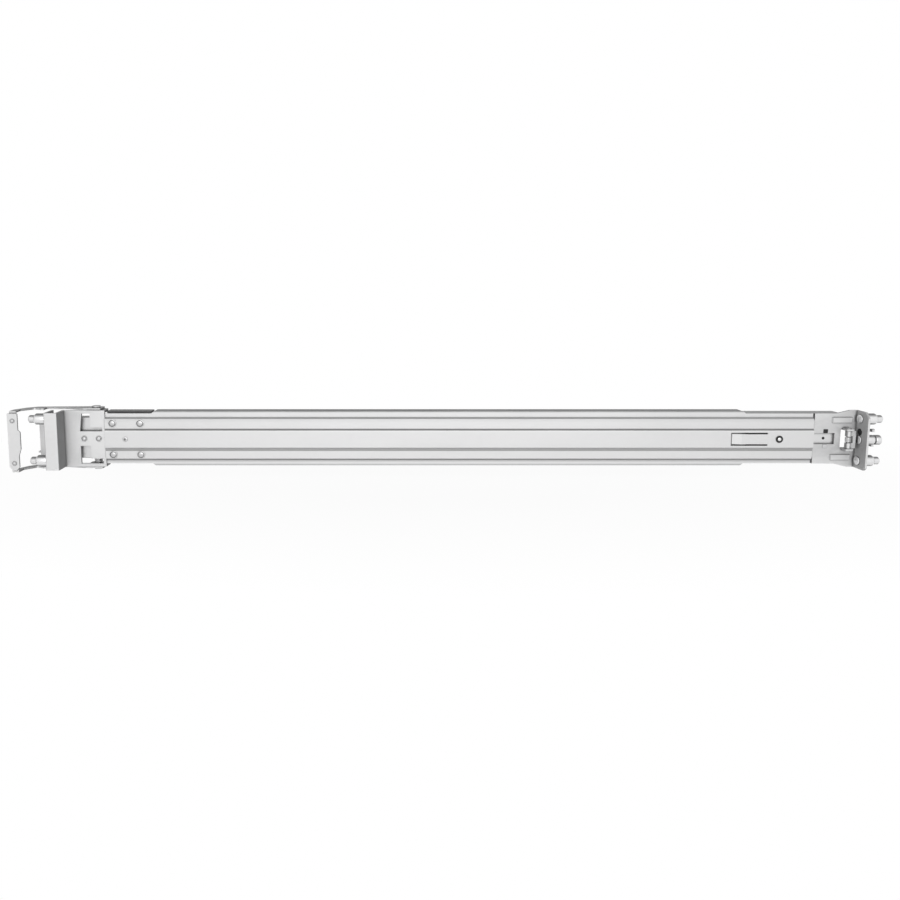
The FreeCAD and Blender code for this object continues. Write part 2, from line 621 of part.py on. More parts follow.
# middle slide member
middle = new_body("middle_slide_member")
MIDDLE_HALF_LOOP = [
    (MIDDLE_NEAR, MIDDLE_HALF),
    (MIDDLE_FAR, MIDDLE_HALF),
    (MIDDLE_FAR, INNER_TRACK),
    (MIDDLE_WEB, INNER_TRACK),
]
MIDDLE_LOOP = MIDDLE_HALF_LOOP + [(u, f"-({v})") for u, v in reversed(MIDDLE_HALF_LOOP)]
pad(middle, "YZ", "-middle_front", MIDDLE_END, [MIDDLE_LOOP])
middle_bends = straight_edges(middle.Tip.Shape, ALONG, lambda spot, length: (
    abs(spot.z) > size(MIDDLE_HALF) - 0.01 and spot.y < size(MIDDLE_WEB)))
fillet(middle, middle_bends, "0.5 * middle_wall")

# inner slide member with keyholes for the server's studs
inner = new_body("inner_slide_member")
INNER_LOOP = [
    (INNER_NEAR, INNER_HALF),
    (INNER_FAR, INNER_HALF),
    (INNER_FAR, f"-{INNER_HALF}"),
    (INNER_NEAR, f"-{INNER_HALF}"),
    (INNER_NEAR, f"inner_wall - {INNER_HALF}"),
    (INNER_WEB, f"inner_wall - {INNER_HALF}"),
    (INNER_WEB, f"{INNER_HALF} - inner_wall"),
    (INNER_NEAR, f"{INNER_HALF} - inner_wall"),
]
pad(inner, "YZ", "-inner_front", INNER_END, [INNER_LOOP])
inner_bends = straight_edges(inner.Tip.Shape, ALONG, lambda spot, length: (
    abs(spot.z) > size(INNER_HALF) - 0.01 and spot.y > size(INNER_WEB)))
fillet(inner, inner_bends, "0.5 * inner_wall")
STUD_PITCH = f"(0.5 * ({INNER_END} - stud_first - stud_last))"
STUDS = [f"(stud_first + {i} * {STUD_PITCH})" for i in range(3)]
cut(inner, "XZ", f"{INNER_WEB} - 1", f"{INNER_FAR} + 1", [(x, "0", "stud_entry") for x in STUDS])
cut(inner, "XZ", f"{INNER_WEB} - 1", f"{INNER_FAR} + 1",
    [rect(x, "-stud_half", f"{x} + stud_run", "stud_half") for x in STUDS])
cut(inner, "XZ", f"{INNER_WEB} - 1", f"{INNER_FAR} + 1",
    [("lever_pivot", "0", "rivet_shank + hole_gap")])


OCTAGON = [(math.cos(math.radians(45 * i + 22.5)), math.sin(math.radians(45 * i + 22.5)))
           for i in range(8)]


def cage(label, near, far, high, start, length, ball_place, ball):
    # folded strip with a row of eight balls caught in each flange
    body = new_body(label)
    top = f"({high} + 0.5 * cage_wall)"
    low = f"({high} - 0.5 * cage_wall)"
    half = [(near, top), (far, top), (far, low), (f"({near} + cage_wall)", low)]
    strip = half + [(u, f"-({v})") for u, v in reversed(half)]
    pad(body, "YZ", start, f"{start} + {length}", [strip])
    # each ball is a stack of two eight-sided slices, wide in the middle
    for sign in ("", "-"):
        slices = []
        for wide, deep in (("1", "0.45"), ("0.72", "0.85")):
            loop = [(f"{start} + ball_end + {round(u, 3)} * {wide} * {ball}",
                     f"{sign}{high} + {round(v, 3)} * {wide} * {ball}") for u, v in OCTAGON]
            slices.append(pad(body, "XZ", f"{ball_place} - {deep} * {ball}",
                              f"{ball_place} + {deep} * {ball}", [loop]))
        row = body.newObject("PartDesign::LinearPattern", "BallRow")
        row.Originals = slices
        row.Direction = (slices[0].Profile[0], ["H_Axis"])
        row.setExpression("Length", bound(f"{length} - 2 * ball_end"))
        row.Occurrences = 8
        body.Tip = row
        doc.recompute()


OUTER_CAGE_START = f"({SLIDE_START} + 0.5 * travel + cage_start_gap)"
OUTER_CAGE_LENGTH = f"({MIDDLE_END} - cage_inset - {OUTER_CAGE_START})"
INNER_CAGE_START = "(0.5 * travel + cage_start_gap - middle_front)"
INNER_CAGE_LENGTH = f"({INNER_END} - inner_cage_inset - {INNER_CAGE_START})"
cage("outer_ball_cage", f"({WEB_FAR} + cage_gap)", f"({BALL_DEEP} + ball_radius + 1)", BALL_HIGH,
     OUTER_CAGE_START, OUTER_CAGE_LENGTH, BALL_DEEP, "ball_radius")
cage("inner_ball_cage", f"({MIDDLE_WEB} + cage_gap)",
     f"({INNER_BALL_DEEP} + inner_ball_radius + 1)",
     INNER_BALL_HIGH, INNER_CAGE_START, INNER_CAGE_LENGTH, INNER_BALL_DEEP, "inner_ball_radius")

# release lever inside the inner member
LEVER_FAR = f"({INNER_WEB} - rest_gap)"
LEVER_NEAR = f"({LEVER_FAR} - lever_wall)"
lever = new_body("release_lever")
LEVER = [
    ("lever_pivot + 8", "-lever_half"),
    ("lever_pivot + 8", "lever_half"),
    ("lever_pivot - 12", "lever_half"),
    ("lever_pivot - 18", "0.6 * lever_half"),
    ("lever_pivot - lever_length + 14", "0.6 * lever_half"),
    ("lever_pivot - lever_length + 10", "lever_half"),
    ("lever_pivot - lever_length", "lever_half"),
    ("lever_pivot - lever_length", "-lever_half"),
    ("lever_pivot - lever_length + 10", "-lever_half"),
    ("lever_pivot - lever_length + 14", "-0.6 * lever_half"),
    ("lever_pivot - 18", "-0.6 * lever_half"),
    ("lever_pivot - 12", "-lever_half"),
]
pad(lever, "XZ", LEVER_NEAR, LEVER_FAR, [LEVER])
fillet(lever, straight_edges(lever.Tip.Shape, ACROSS, lambda spot, length: (
    spot.x > size("lever_pivot + 7") or spot.x < size("lever_pivot - lever_length + 1"))),
    "0.4 * lever_half")
cut(lever, "XZ", f"{LEVER_NEAR} - 1", f"{LEVER_FAR} + 1",
    [("lever_pivot", "0", "rivet_shank + running_gap")])
lever_rivet = new_body("lever_rivet")
pad(lever_rivet, "XZ", f"{LEVER_NEAR} - rest_gap", INNER_FAR,
    [("lever_pivot", "0", "rivet_shank")])
pad(lever_rivet, "XZ", f"{LEVER_NEAR} - rest_gap - rivet_head", f"{LEVER_NEAR} - rest_gap",
    [("lever_pivot", "0", "rivet_radius")])

# front latch: two arms, pull plate, pivots and springs
ARM_LOW = "(bracket_half + latch_gap)"
ARM_HIGH = f"({ARM_LOW} + latch_wall)"
HANDLE_FAR = "(latch_wall - handle_near)"
TAB_FAR = f"({HANDLE_FAR} + latch_wall)"
TAB_FRONT = "(tab_inset - handle_front)"
TAB_REAR = "(handle_width - tab_inset - handle_front)"
ARM = [
    (f"{PIVOT} + arm_rear", "latch_pivot_reach - arm_rear"),
    (f"{PIVOT} + arm_rear", "latch_pivot_reach + arm_rear"),
    (f"{PIVOT} - arm_rear", "latch_pivot_reach + arm_rear"),
    ("-(catch_face + catch_length)", "arm_far"),
    ("0.45 * (-(catch_face + catch_length)) + 0.55 * " + TAB_FRONT, "0.62 * arm_far"),
    (TAB_FRONT, "-0.1 * handle_near"),
    (TAB_FRONT, HANDLE_FAR),
    (TAB_REAR, HANDLE_FAR),
    (TAB_REAR, "-0.1 * handle_near"),
    ("-(catch_face + catch_length) - 1.2", "arm_near - 2.6"),
    ("-(catch_face + catch_length)", "arm_near - 1.6"),
    ("-(catch_face + 2)", "catch_reach"),
    ("-catch_face", "catch_reach"),
    ("-catch_face", "arm_near"),
    ("bracket_box", "arm_near"),
    (f"{PIVOT} - 1.6 * arm_rear", "latch_pivot_reach - arm_rear"),
]
for label, sign in (("latch_arm_upper", ""), ("latch_arm_lower", "-")):
    arm = new_body(label)
    ends = (ARM_LOW, ARM_HIGH) if sign == "" else (f"-{ARM_HIGH}", f"-{ARM_LOW}")
    pad(arm, "XY", ends[0], ends[1], [ARM])
    fillet(arm, straight_edges(arm.Tip.Shape, UPWARD, lambda spot, length: (
        spot.x > size(PIVOT) or spot.x < -size("catch_face + catch_length - 1")
        and spot.y > size(HANDLE_FAR) + 0.01)), "1.4 * latch_wall")
    tab = rect(TAB_FRONT, "bracket_half - tab_depth", TAB_REAR, ARM_HIGH)
    pad(arm, "XZ", HANDLE_FAR, TAB_FAR, [tab if sign == "" else flip(tab)])
    stem = (f"0.5 * ({TAB_FRONT} + {TAB_REAR})", "handle_rivet_rise", "handle_stem + hole_gap")
    cut(arm, "XZ", f"{HANDLE_FAR} - 1", f"{TAB_FAR} + 1", [stem if sign == "" else flip(stem)])
    cut(arm, "XY", f"-{ARM_HIGH} - 1", f"{ARM_HIGH} + 1",
        [(PIVOT, "latch_pivot_reach", "latch_shank + running_gap")])

handle = new_body("latch_pull_plate")
HANDLE_REAR = "(handle_width - handle_front)"
HANDLE = [
    ("-handle_front", "handle_cut - handle_half"),
    ("handle_cut - handle_front", "-handle_half"),
    (f"{HANDLE_REAR} - handle_cut", "-handle_half"),
    (HANDLE_REAR, "handle_cut - handle_half"),
    (HANDLE_REAR, "-0.48 * handle_half"),
    (f"{HANDLE_REAR} + handle_bump", "-0.24 * handle_half"),
    (f"{HANDLE_REAR} + handle_bump", "0.35 * handle_half"),
    (HANDLE_REAR, "0.42 * handle_half"),
    (HANDLE_REAR, "handle_half"),
    ("-handle_front", "handle_half"),
]
pad(handle, "XZ", "-handle_near", HANDLE_FAR, [HANDLE])
fillet(handle, straight_edges(handle.Tip.Shape, ACROSS, lambda spot, length: True),
       "0.4 * latch_wall")
HANDLE_STEM = (f"0.5 * ({TAB_FRONT} + {TAB_REAR})", "handle_rivet_rise", "handle_stem + hole_gap")
cut(handle, "XZ", "-handle_near - 1", f"{HANDLE_FAR} + 1", both(HANDLE_STEM))
plate_rivets = new_body("pull_plate_rivets")
pad(plate_rivets, "XZ", "-handle_near - 0.7 * rivet_head", "-handle_near",
    both((HANDLE_STEM[0], HANDLE_STEM[1], "handle_rivet")))
fillet(plate_rivets, ring_edges(plate_rivets.Tip.Shape, lambda curve, spot: (
    curve.Center.y < -size("handle_near + 0.69 * rivet_head"))), "0.4 * rivet_head", "Chamfer")
pad(plate_rivets, "XZ", "-handle_near", TAB_FAR, both((HANDLE_STEM[0], HANDLE_STEM[1], "handle_stem")))
pad(plate_rivets, "XZ", TAB_FAR, f"{TAB_FAR} + 0.6 * rivet_head",
    both((HANDLE_STEM[0], HANDLE_STEM[1], "handle_rivet")))

pivots = new_body("latch_pivots")
LUG_INNER = f"(bracket_half - {BRACKET_WALL})"
PIVOT_SPOT = [(PIVOT, "latch_pivot_reach", "latch_shank")]
PIVOT_HEAD = [(PIVOT, "latch_pivot_reach", "latch_head")]
for sign in ("", "-"):
    for low, high, loops in (
            (f"{LUG_INNER} - latch_inside + 0.5", f"{ARM_HIGH} + latch_gap", PIVOT_SPOT),
            (f"{ARM_HIGH} + latch_gap", f"{ARM_HIGH} + latch_gap + latch_head_high", PIVOT_HEAD),
            (f"{LUG_INNER} - latch_inside", f"{LUG_INNER} - latch_inside + 0.5", PIVOT_HEAD)):
        if sign == "":
            pad(pivots, "XY", low, high, loops)
        else:
            pad(pivots, "XY", f"-({high})", f"-({low})", loops)

COIL_INNER = "(latch_shank + spring_gap)"
springs = new_body("front_latch_springs")


def coil_loop(inner, wire, turns, top):
    # half section of a closed pack of turns: straight bore, one ridge for two turns
    loop = [(inner, f"({top} - {turns} * {wire})"), (inner, top)]
    for i in range(0, turns, 2):
        loop.append((f"{inner} + 0.45 * {wire}", f"({top} - {i} * {wire})"))
        loop.append((f"{inner} + {wire}", f"({top} - {i + 1} * {wire})"))
    loop.append((f"{inner} + 0.45 * {wire}", f"({top} - {turns} * {wire})"))
    return loop


FRONT_COIL = coil_loop(COIL_INNER, "spring_wire", 4, f"({LUG_INNER} - 0.1)")
spin(springs, "XZ", "0", "V_Axis", both(FRONT_COIL))
springs.setExpression("Placement.Base.x", bound(PIVOT))
springs.setExpression("Placement.Base.y", bound("latch_pivot_reach"))

# rear extension plate with its mounting flange
extension = new_body("extension_plate")
TALL_START = f"({CHANNEL_END} + extension_clear)"
FLANGE_NEAR_X = "(post_distance - extension_wall)"
EXTENSION_HALF_LOOP = [
    (f"{EXTENSION_START} + 3", PLATE_HALF),
    (TALL_START, PLATE_HALF),
    (TALL_START, "extension_half"),
    ("post_distance - flare_back", "extension_half"),
    ("post_distance - flare_back + flare_run", "flange_half"),
    ("post_distance", "flange_half"),
]
EXTENSION_LOOP = [(EXTENSION_START, f"{PLATE_HALF} - 3")] + EXTENSION_HALF_LOOP
EXTENSION_LOOP = EXTENSION_LOOP + [(u, f"-({v})") for u, v in reversed(EXTENSION_LOOP)]
pad(extension, "XZ", PLATE_NEAR, PLATE_FAR, [EXTENSION_LOOP])
FLANGE = [
    (PLATE_FAR, "-flange_half"),
    (PLATE_FAR, "flange_half"),
    ("flange_cut - flange_near", "flange_half"),
    ("-flange_near", "flange_half - flange_cut"),
    ("-flange_near", "0.5 * flange_cut - flange_half"),
    ("0.5 * flange_cut - flange_near", "-flange_half"),
]
pad(extension, "YZ", FLANGE_NEAR_X, "post_distance", [FLANGE])
corner = straight_edges(extension.Tip.Shape, UPWARD, lambda spot, length: (
    spot.x > size("post_distance") - 0.01 and spot.y > size(PLATE_FAR) - 0.01))
fillet(extension, corner, "0.8 * extension_wall")
LUG_OUT = f"(hinge_half + rest_gap)"
pad(extension, "XY", LUG_OUT, f"{LUG_OUT} + hinge_lug",
    [rect(f"{HINGE} - hinge_lug_half", "hinge_reach - hinge_lug_half",
          f"{HINGE} + hinge_lug_half", f"{PLATE_NEAR} + 0.5 * extension_wall")])
pad(extension, "XY", f"-({LUG_OUT} + hinge_lug)", f"-{LUG_OUT}",
    [rect(f"{HINGE} - hinge_lug_half", "hinge_reach - hinge_lug_half",
          f"{HINGE} + hinge_lug_half", f"{PLATE_NEAR} + 0.5 * extension_wall")])
cut(extension, "XZ", f"{PLATE_NEAR} - 0.01", f"{PLATE_FAR} + 1",
    [rect(SLOT_FRONT, f"-{SLOT_HALF}", SLOT_REAR, SLOT_HALF),
     rect(f"{HINGE} - hinge_lug_half - 1", f"-{LUG_OUT}",
          f"{FLANGE_NEAR_X} - 0.5", LUG_OUT)])
cut(extension, "XY", f"-({LUG_OUT} + hinge_lug + 1)", f"{LUG_OUT} + hinge_lug + 1",
    [(HINGE, "hinge_reach", "hinge_pin + hole_gap")])
RIB = [
    (RIB_START, PLATE_NEAR),
    (f"{RIB_START} + rib_high", f"{PLATE_NEAR} - rib_high"),
    (f"{RIB_START} + rib_length - rib_high", f"{PLATE_NEAR} - rib_high"),
    (f"{RIB_START} + rib_length", PLATE_NEAR),
    (f"{RIB_START} + rib_length", f"{PLATE_NEAR} + 0.3"),
    (RIB_START, f"{PLATE_NEAR} + 0.3"),
]
pad(extension, "XY", "rib_rise - rib_half", "rib_rise + rib_half", [RIB])
pad(extension, "XY", "-(rib_rise + rib_half)", "-(rib_rise - rib_half)", [RIB])
cut(extension, "YZ", f"{FLANGE_NEAR_X} - 1", "post_distance + 1",
    both(("0", "hole_pitch", "pin_stem + hole_gap")) + [
        ("0", "0", "pin_stem + hole_gap"), ("-flange_window_set", "flange_window_rise",
                                            "flange_window")])

rear_pins = new_body("rear_pins")
BODY_END = "(post_distance + pin_body)"
pad(rear_pins, "YZ", "post_distance", BODY_END, both(("0", "hole_pitch", "pin_radius")))
pad(rear_pins, "YZ", BODY_END, f"{BODY_END} + pin_tip",
    both(("0", "hole_pitch", "pin_tip_radius")))
pad(rear_pins, "YZ", FLANGE_NEAR_X, "post_distance", both(("0", "hole_pitch", "pin_stem")))
pad(rear_pins, "YZ", f"{FLANGE_NEAR_X} - pin_tail", FLANGE_NEAR_X,
    both(("0", "hole_pitch", "pin_tail_radius")))
rims = ring_edges(rear_pins.Tip.Shape, lambda curve, spot: (
    curve.Center.x > size(f"{BODY_END} + pin_tip") - 0.01))
fillet(rear_pins, rims, "pin_taper", "Chamfer")
centre_pin = new_body("rear_centre_pin")
pad(centre_pin, "YZ", "post_distance", "post_distance + centre_pin_length",
    [("0", "0", "centre_pin_radius")])
pad(centre_pin, "YZ", FLANGE_NEAR_X, "post_distance", [("0", "0", "pin_stem")])
pad(centre_pin, "YZ", f"{FLANGE_NEAR_X} - pin_tail", FLANGE_NEAR_X,
    [("0", "0", "pin_tail_radius")])
fillet(centre_pin, ring_edges(centre_pin.Tip.Shape, lambda curve, spot: (
    curve.Center.x > size("post_distance + centre_pin_length") - 0.01)), "1.6 * pin_taper", "Chamfer")

# rear latch, hinged on a pin between the lugs
latch = new_body("rear_latch")
LEAF_NEAR = "(hinge_reach - 0.5 * leaf_wall)"
CROSS = f"({FLANGE_NEAR_X} - 3.2)"
LEAF = [
    (HINGE, LEAF_NEAR),
    (f"{CROSS} + leaf_wall", LEAF_NEAR),
    (f"{CROSS} + leaf_wall", "leaf_far"),
    (f"{LEAF_TIP} - leaf_tooth", "leaf_far"),
    (f"{LEAF_TIP} - leaf_tooth", "leaf_far - leaf_catch"),
    (f"{LEAF_TIP} - 0.4 * leaf_tooth", "leaf_far - leaf_catch"),
    (LEAF_TIP, "leaf_far"),
    (LEAF_TIP, "leaf_far + leaf_wall"),
    (CROSS, "leaf_far + leaf_wall"),
    (CROSS, f"{LEAF_NEAR} + leaf_wall"),
    (HINGE, f"{LEAF_NEAR} + leaf_wall"),
]
pad(latch, "XY", "-hinge_half", "hinge_half", [LEAF])
pad(latch, "XY", "-hinge_half", "hinge_half", [(HINGE, "hinge_reach", "hinge_barrel")])
cut(latch, "XZ", f"{PLATE_FAR}", "leaf_far + leaf_wall + 1",
    [rect(f"{CROSS} + leaf_wall + 0.01", "-leaf_open", f"{LEAF_TIP} + 1", "leaf_open")])
cut(latch, "XY", "-spring_room", "spring_room",
    [(HINGE, "hinge_reach", "hinge_barrel + 1.2")])
cut(latch, "XY", "-hinge_half - 1", "hinge_half + 1",
    [(HINGE, "hinge_reach", "hinge_pin + running_gap")])
hinge = new_body("rear_hinge_pin")
HEAD_LOW = f"({LUG_OUT} + hinge_lug)"
pad(hinge, "XY", f"-{HEAD_LOW}", HEAD_LOW, [(HINGE, "hinge_reach", "hinge_pin")])
pad(hinge, "XY", HEAD_LOW, f"{HEAD_LOW} + hinge_head_high",
    [(HINGE, "hinge_reach", "hinge_head")])
pad(hinge, "XY", f"-({HEAD_LOW} + hinge_head_high)", f"-{HEAD_LOW}",
    [(HINGE, "hinge_reach", "hinge_head")])
rear_spring = new_body("rear_latch_spring")
spin(rear_spring, "XZ", "0", "V_Axis",
     [coil_loop("(hinge_pin + spring_gap)", "spring_wire", 6, "3 * spring_wire")])
rear_spring.setExpression("Placement.Base.x", bound(HINGE))
rear_spring.setExpression("Placement.Base.y", bound("hinge_reach"))

doc.recompute()
for item in doc.Objects:
    if "Invalid" in item.State or "Error" in item.State:
        raise RuntimeError(f"{item.Name} did not build: {item.State}")
for item in doc.Objects:
    if item.TypeId == "PartDesign::Pocket":
        before = item.BaseFeature.Shape.Volume
        if not item.Shape.Volume < before - 1e-6:
            raise RuntimeError(f"{item.Name} removes nothing")

os.makedirs("parts", exist_ok=True)
for item in doc.Objects:
    if item.TypeId != "PartDesign::Body":
        continue
    shape = item.Shape
    if shape.isNull() or not shape.isValid():
        raise RuntimeError(f"{item.Label} is not a valid shape")
    shape.exportStep(f"parts/{item.Label}.step")
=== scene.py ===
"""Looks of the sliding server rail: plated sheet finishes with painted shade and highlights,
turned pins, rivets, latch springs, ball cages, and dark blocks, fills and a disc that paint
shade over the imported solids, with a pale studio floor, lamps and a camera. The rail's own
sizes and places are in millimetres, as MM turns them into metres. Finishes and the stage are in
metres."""

import math

import bmesh
import bpy
import numpy as np
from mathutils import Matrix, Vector


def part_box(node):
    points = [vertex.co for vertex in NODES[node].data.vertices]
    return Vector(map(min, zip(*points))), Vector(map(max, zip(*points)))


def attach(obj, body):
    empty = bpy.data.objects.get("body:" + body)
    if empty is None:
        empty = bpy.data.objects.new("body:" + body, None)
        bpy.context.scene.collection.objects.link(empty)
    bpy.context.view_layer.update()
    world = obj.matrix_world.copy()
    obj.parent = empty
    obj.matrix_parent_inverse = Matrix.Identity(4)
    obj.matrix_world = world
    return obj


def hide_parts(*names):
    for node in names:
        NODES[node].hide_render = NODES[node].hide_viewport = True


bl_info = {
    "name": "Sliding Server Rail",
    "version": (1, 0, 0),
    "blender": (4, 5, 0),
    "location": "View3D > Sidebar > Rail",
    "description": "Finishes and fine pieces of a telescopic rack rail",
    "category": "Object",
}

MM = 0.001
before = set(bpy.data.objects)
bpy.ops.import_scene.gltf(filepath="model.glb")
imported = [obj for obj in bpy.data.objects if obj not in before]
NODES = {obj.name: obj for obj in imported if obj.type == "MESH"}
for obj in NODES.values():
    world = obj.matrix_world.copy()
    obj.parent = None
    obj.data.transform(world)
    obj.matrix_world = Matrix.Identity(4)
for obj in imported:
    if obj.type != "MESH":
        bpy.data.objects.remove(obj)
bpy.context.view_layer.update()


# ---------------------------------------------------------------- surfaces

def grid_mesh(name, points, close=False, caps=False, smooth=True):
    """Mesh of a surface sampled on a grid: points[i, j] is the place of row i, column j.
    With close, a row's last column joins its first. With caps, one flat face fills the first
    row and one the last."""
    rows, columns = points.shape[:2]
    last = columns if close else columns - 1
    i, j = np.meshgrid(np.arange(rows - 1), np.arange(last), indexing="ij")
    i2, j2 = i + 1, (j + 1) % columns
    quads = np.stack([i * columns + j, i2 * columns + j, i2 * columns + j2, i * columns + j2],
                     axis=-1).reshape(-1, 4)
    faces = quads.tolist()
    if caps:
        faces.append(list(range(columns)))
        faces.append([(rows - 1) * columns + k for k in range(columns)][::-1])
    mesh = bpy.data.meshes.new(name)
    mesh.from_pydata(points.reshape(-1, 3).tolist(), [], faces)
    mesh.polygons.foreach_set("use_smooth", np.full(len(faces), smooth, dtype=bool))
    mesh.update()
    return mesh


def face_outwards(mesh, doubles=1e-7):
    """Merges doubled points and turns every face of closed shells outwards."""
    work = bmesh.new()
    work.from_mesh(mesh)
    bmesh.ops.remove_doubles(work, verts=work.verts, dist=doubles)
    bmesh.ops.recalc_face_normals(work, faces=work.faces)
    work.to_mesh(mesh)
    work.free()
    mesh.update()


def smooth_by_angle(mesh, degrees):
    """Shades faces smoothly where they meet at less than an angle and sharply elsewhere."""
    mesh.polygons.foreach_set("use_smooth", np.ones(len(mesh.polygons), dtype=bool))
    mesh.set_sharp_from_angle(angle=math.radians(degrees))


def join_meshes(name, meshes, crease=None):
    """One mesh out of several, their points and faces simply put side by side. Where a crease
    is given, faces that meet at more than it, in degrees, are shaded sharply."""
    points, faces, smooth, start = [], [], [], 0
    for mesh in meshes:
        here = np.empty(len(mesh.vertices) * 3)
        mesh.vertices.foreach_get("co", here)
        points.append(here.reshape(-1, 3))
        faces += [[start + v for v in face.vertices] for face in mesh.polygons]
        smooth += [face.use_smooth for face in mesh.polygons]
        start += len(mesh.vertices)
        bpy.data.meshes.remove(mesh)
    joined = bpy.data.meshes.new(name)
    joined.from_pydata(np.concatenate(points).tolist(), [], faces)
    joined.polygons.foreach_set("use_smooth", smooth)
    joined.update()
    if crease is not None:
        smooth_by_angle(joined, crease)
    return joined


def turned(profile, centre, axis, steps=40):
    """Surface of revolution. The profile's pairs are (distance along the axis, radius) and
    point (t, a) lies at centre + along(t) * axis + radius(t) * (cos a, sin a) across it."""
    axis = np.asarray(axis, float)
    side = np.array([0.0, 0.0, 1.0])
    other = np.cross(axis, side)
    profile = np.asarray(profile, float)
    angle = np.linspace(0, 2 * math.pi, steps, endpoint=False)
    ring = (np.cos(angle)[:, None] * side + np.sin(angle)[:, None] * other)
    points = (np.asarray(centre, float) + profile[:, 0, None, None] * axis
              + profile[:, 1, None, None] * ring[None])
    mesh = grid_mesh("turned", points, close=True, caps=True)
    face_outwards(mesh)
    return mesh


WIRE_GUIDE = (0.0, 1.0, 0.12)    # a direction that no stretch of the springs runs along


def tube(path, radius, steps):
    """Round wire along a path: at each of its points a circle stands square to the path's
    direction, with its first spoke square to the wire guide as well."""
    path = np.asarray(path, float)
    along = np.gradient(path, axis=0)
    along /= np.linalg.norm(along, axis=1)[:, None]
    side = np.cross(along, WIRE_GUIDE)
    side /= np.linalg.norm(side, axis=1)[:, None]
    up = np.cross(along, side)
    angle = np.linspace(0, 2 * math.pi, steps, endpoint=False)
    points = (path[:, None] + radius * (np.cos(angle)[None, :, None] * side[:, None]
                                        + np.sin(angle)[None, :, None] * up[:, None]))
    mesh = grid_mesh("wire", points, close=True, caps=True)
    face_outwards(mesh)
    return mesh


def add_piece(name, mesh, body, material, slot_name, *stands_for):
    """Puts a finished mesh in the scene, dressed, riding on a body, for the CAD nodes."""
    mesh.name = name
    mesh.materials.clear()
    mesh.materials.append(material)
    piece = bpy.data.objects.new(name, mesh)
    bpy.context.scene.collection.objects.link(piece)
    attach(piece, body)
    if stands_for:
        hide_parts(*stands_for)
    return piece


# ---------------------------------------------------------------- finishes

def new_group(name, inputs, outputs):
    """An empty node group with named inputs (name, kind, default) and outputs (name, kind)."""
    group = bpy.data.node_groups.new(name, "ShaderNodeTree")
    for label, kind, default in inputs:
        item = group.interface.new_socket(label, in_out="INPUT", socket_type=kind)
        item.default_value = default
    for label, kind in outputs:
        group.interface.new_socket(label, in_out="OUTPUT", socket_type=kind)
    return group, group.nodes.new("NodeGroupInput"), group.nodes.new("NodeGroupOutput")


def wire(tree, *pairs):
    """Links each (output, input) pair of sockets."""
    for source, target in pairs:
        tree.links.new(source, target)


def math_node(tree, operation, first, second):
    """A math node fed by sockets or plain numbers; returns its result. Sums and differences
    are held between 0 and 1."""
    node = tree.nodes.new("ShaderNodeMath")
    node.operation = operation
    node.use_clamp = operation in ("ADD", "SUBTRACT")
    for slot, value in zip(node.inputs, (first, second)):
        if isinstance(value, (int, float)):
            slot.default_value = value
        else:
            tree.links.new(value, slot)
    return node.outputs[0]


def map_range(tree, low, high):
    """A node that takes low to 0 and high to 1, and holds what lies outside them there."""
    node = tree.nodes.new("ShaderNodeMapRange")
    node.inputs["From Min"].default_value = low
    node.inputs["From Max"].default_value = high
    return node


def colour_mix(tree):
    """A node that mixes colour A with colour B by its factor."""
    node = tree.nodes.new("ShaderNodeMix")
    node.data_type = "RGBA"
    return node


def grey(value, blue=1.0):
    """A grey, with its blue part raised a little for a cold metal."""
    return (value, value, value * blue, 1)


def stretched_noise(tree, place, scale, stretch, detail):
    """Noise drawn out along X by the stretch, so that it runs with the rolled sheet."""
    mapping = tree.nodes.new("ShaderNodeMapping")
    mapping.inputs["Scale"].default_value = (1.0 / stretch, 1.0, 1.0)
    noise = tree.nodes.new("ShaderNodeTexNoise")
    noise.inputs["Scale"].default_value = scale
    noise.inputs["Detail"].default_value = detail
    wire(tree, (place, mapping.inputs["Vector"]), (mapping.outputs[0], noise.inputs["Vector"]))
    return noise.outputs["Fac"]


COLD = 1.005                     # how much bluer than grey the plate is
COLD_SHADE = 1.01                 # and the painted shade tone on the faces that look up, down or across the rail
CLOUD_SPREAD = (0.32, 0.68)      # stretch of the bath marks that runs from bright to dull
EDGE_WEAR_AND_HIGHLIGHT = (0.52, 0.60)       # pointiness where the edge brightening starts and where it is complete: rubbing of the zinc and a painted highlight
CORNER_SHADE_DEPTH = (0.92, 0.48)       # openness of a corner where the painted corner shade starts and is complete
SHADE_TILT = (0.5, 0.95)          # how far a face looks up or down where the painted shade starts and where it is complete
SHADE_ACROSS = (0.45, 0.95)       # the same for a face across the rail
RELIEF_DEPTH = 0.0002            # metres that a full bump stands proud


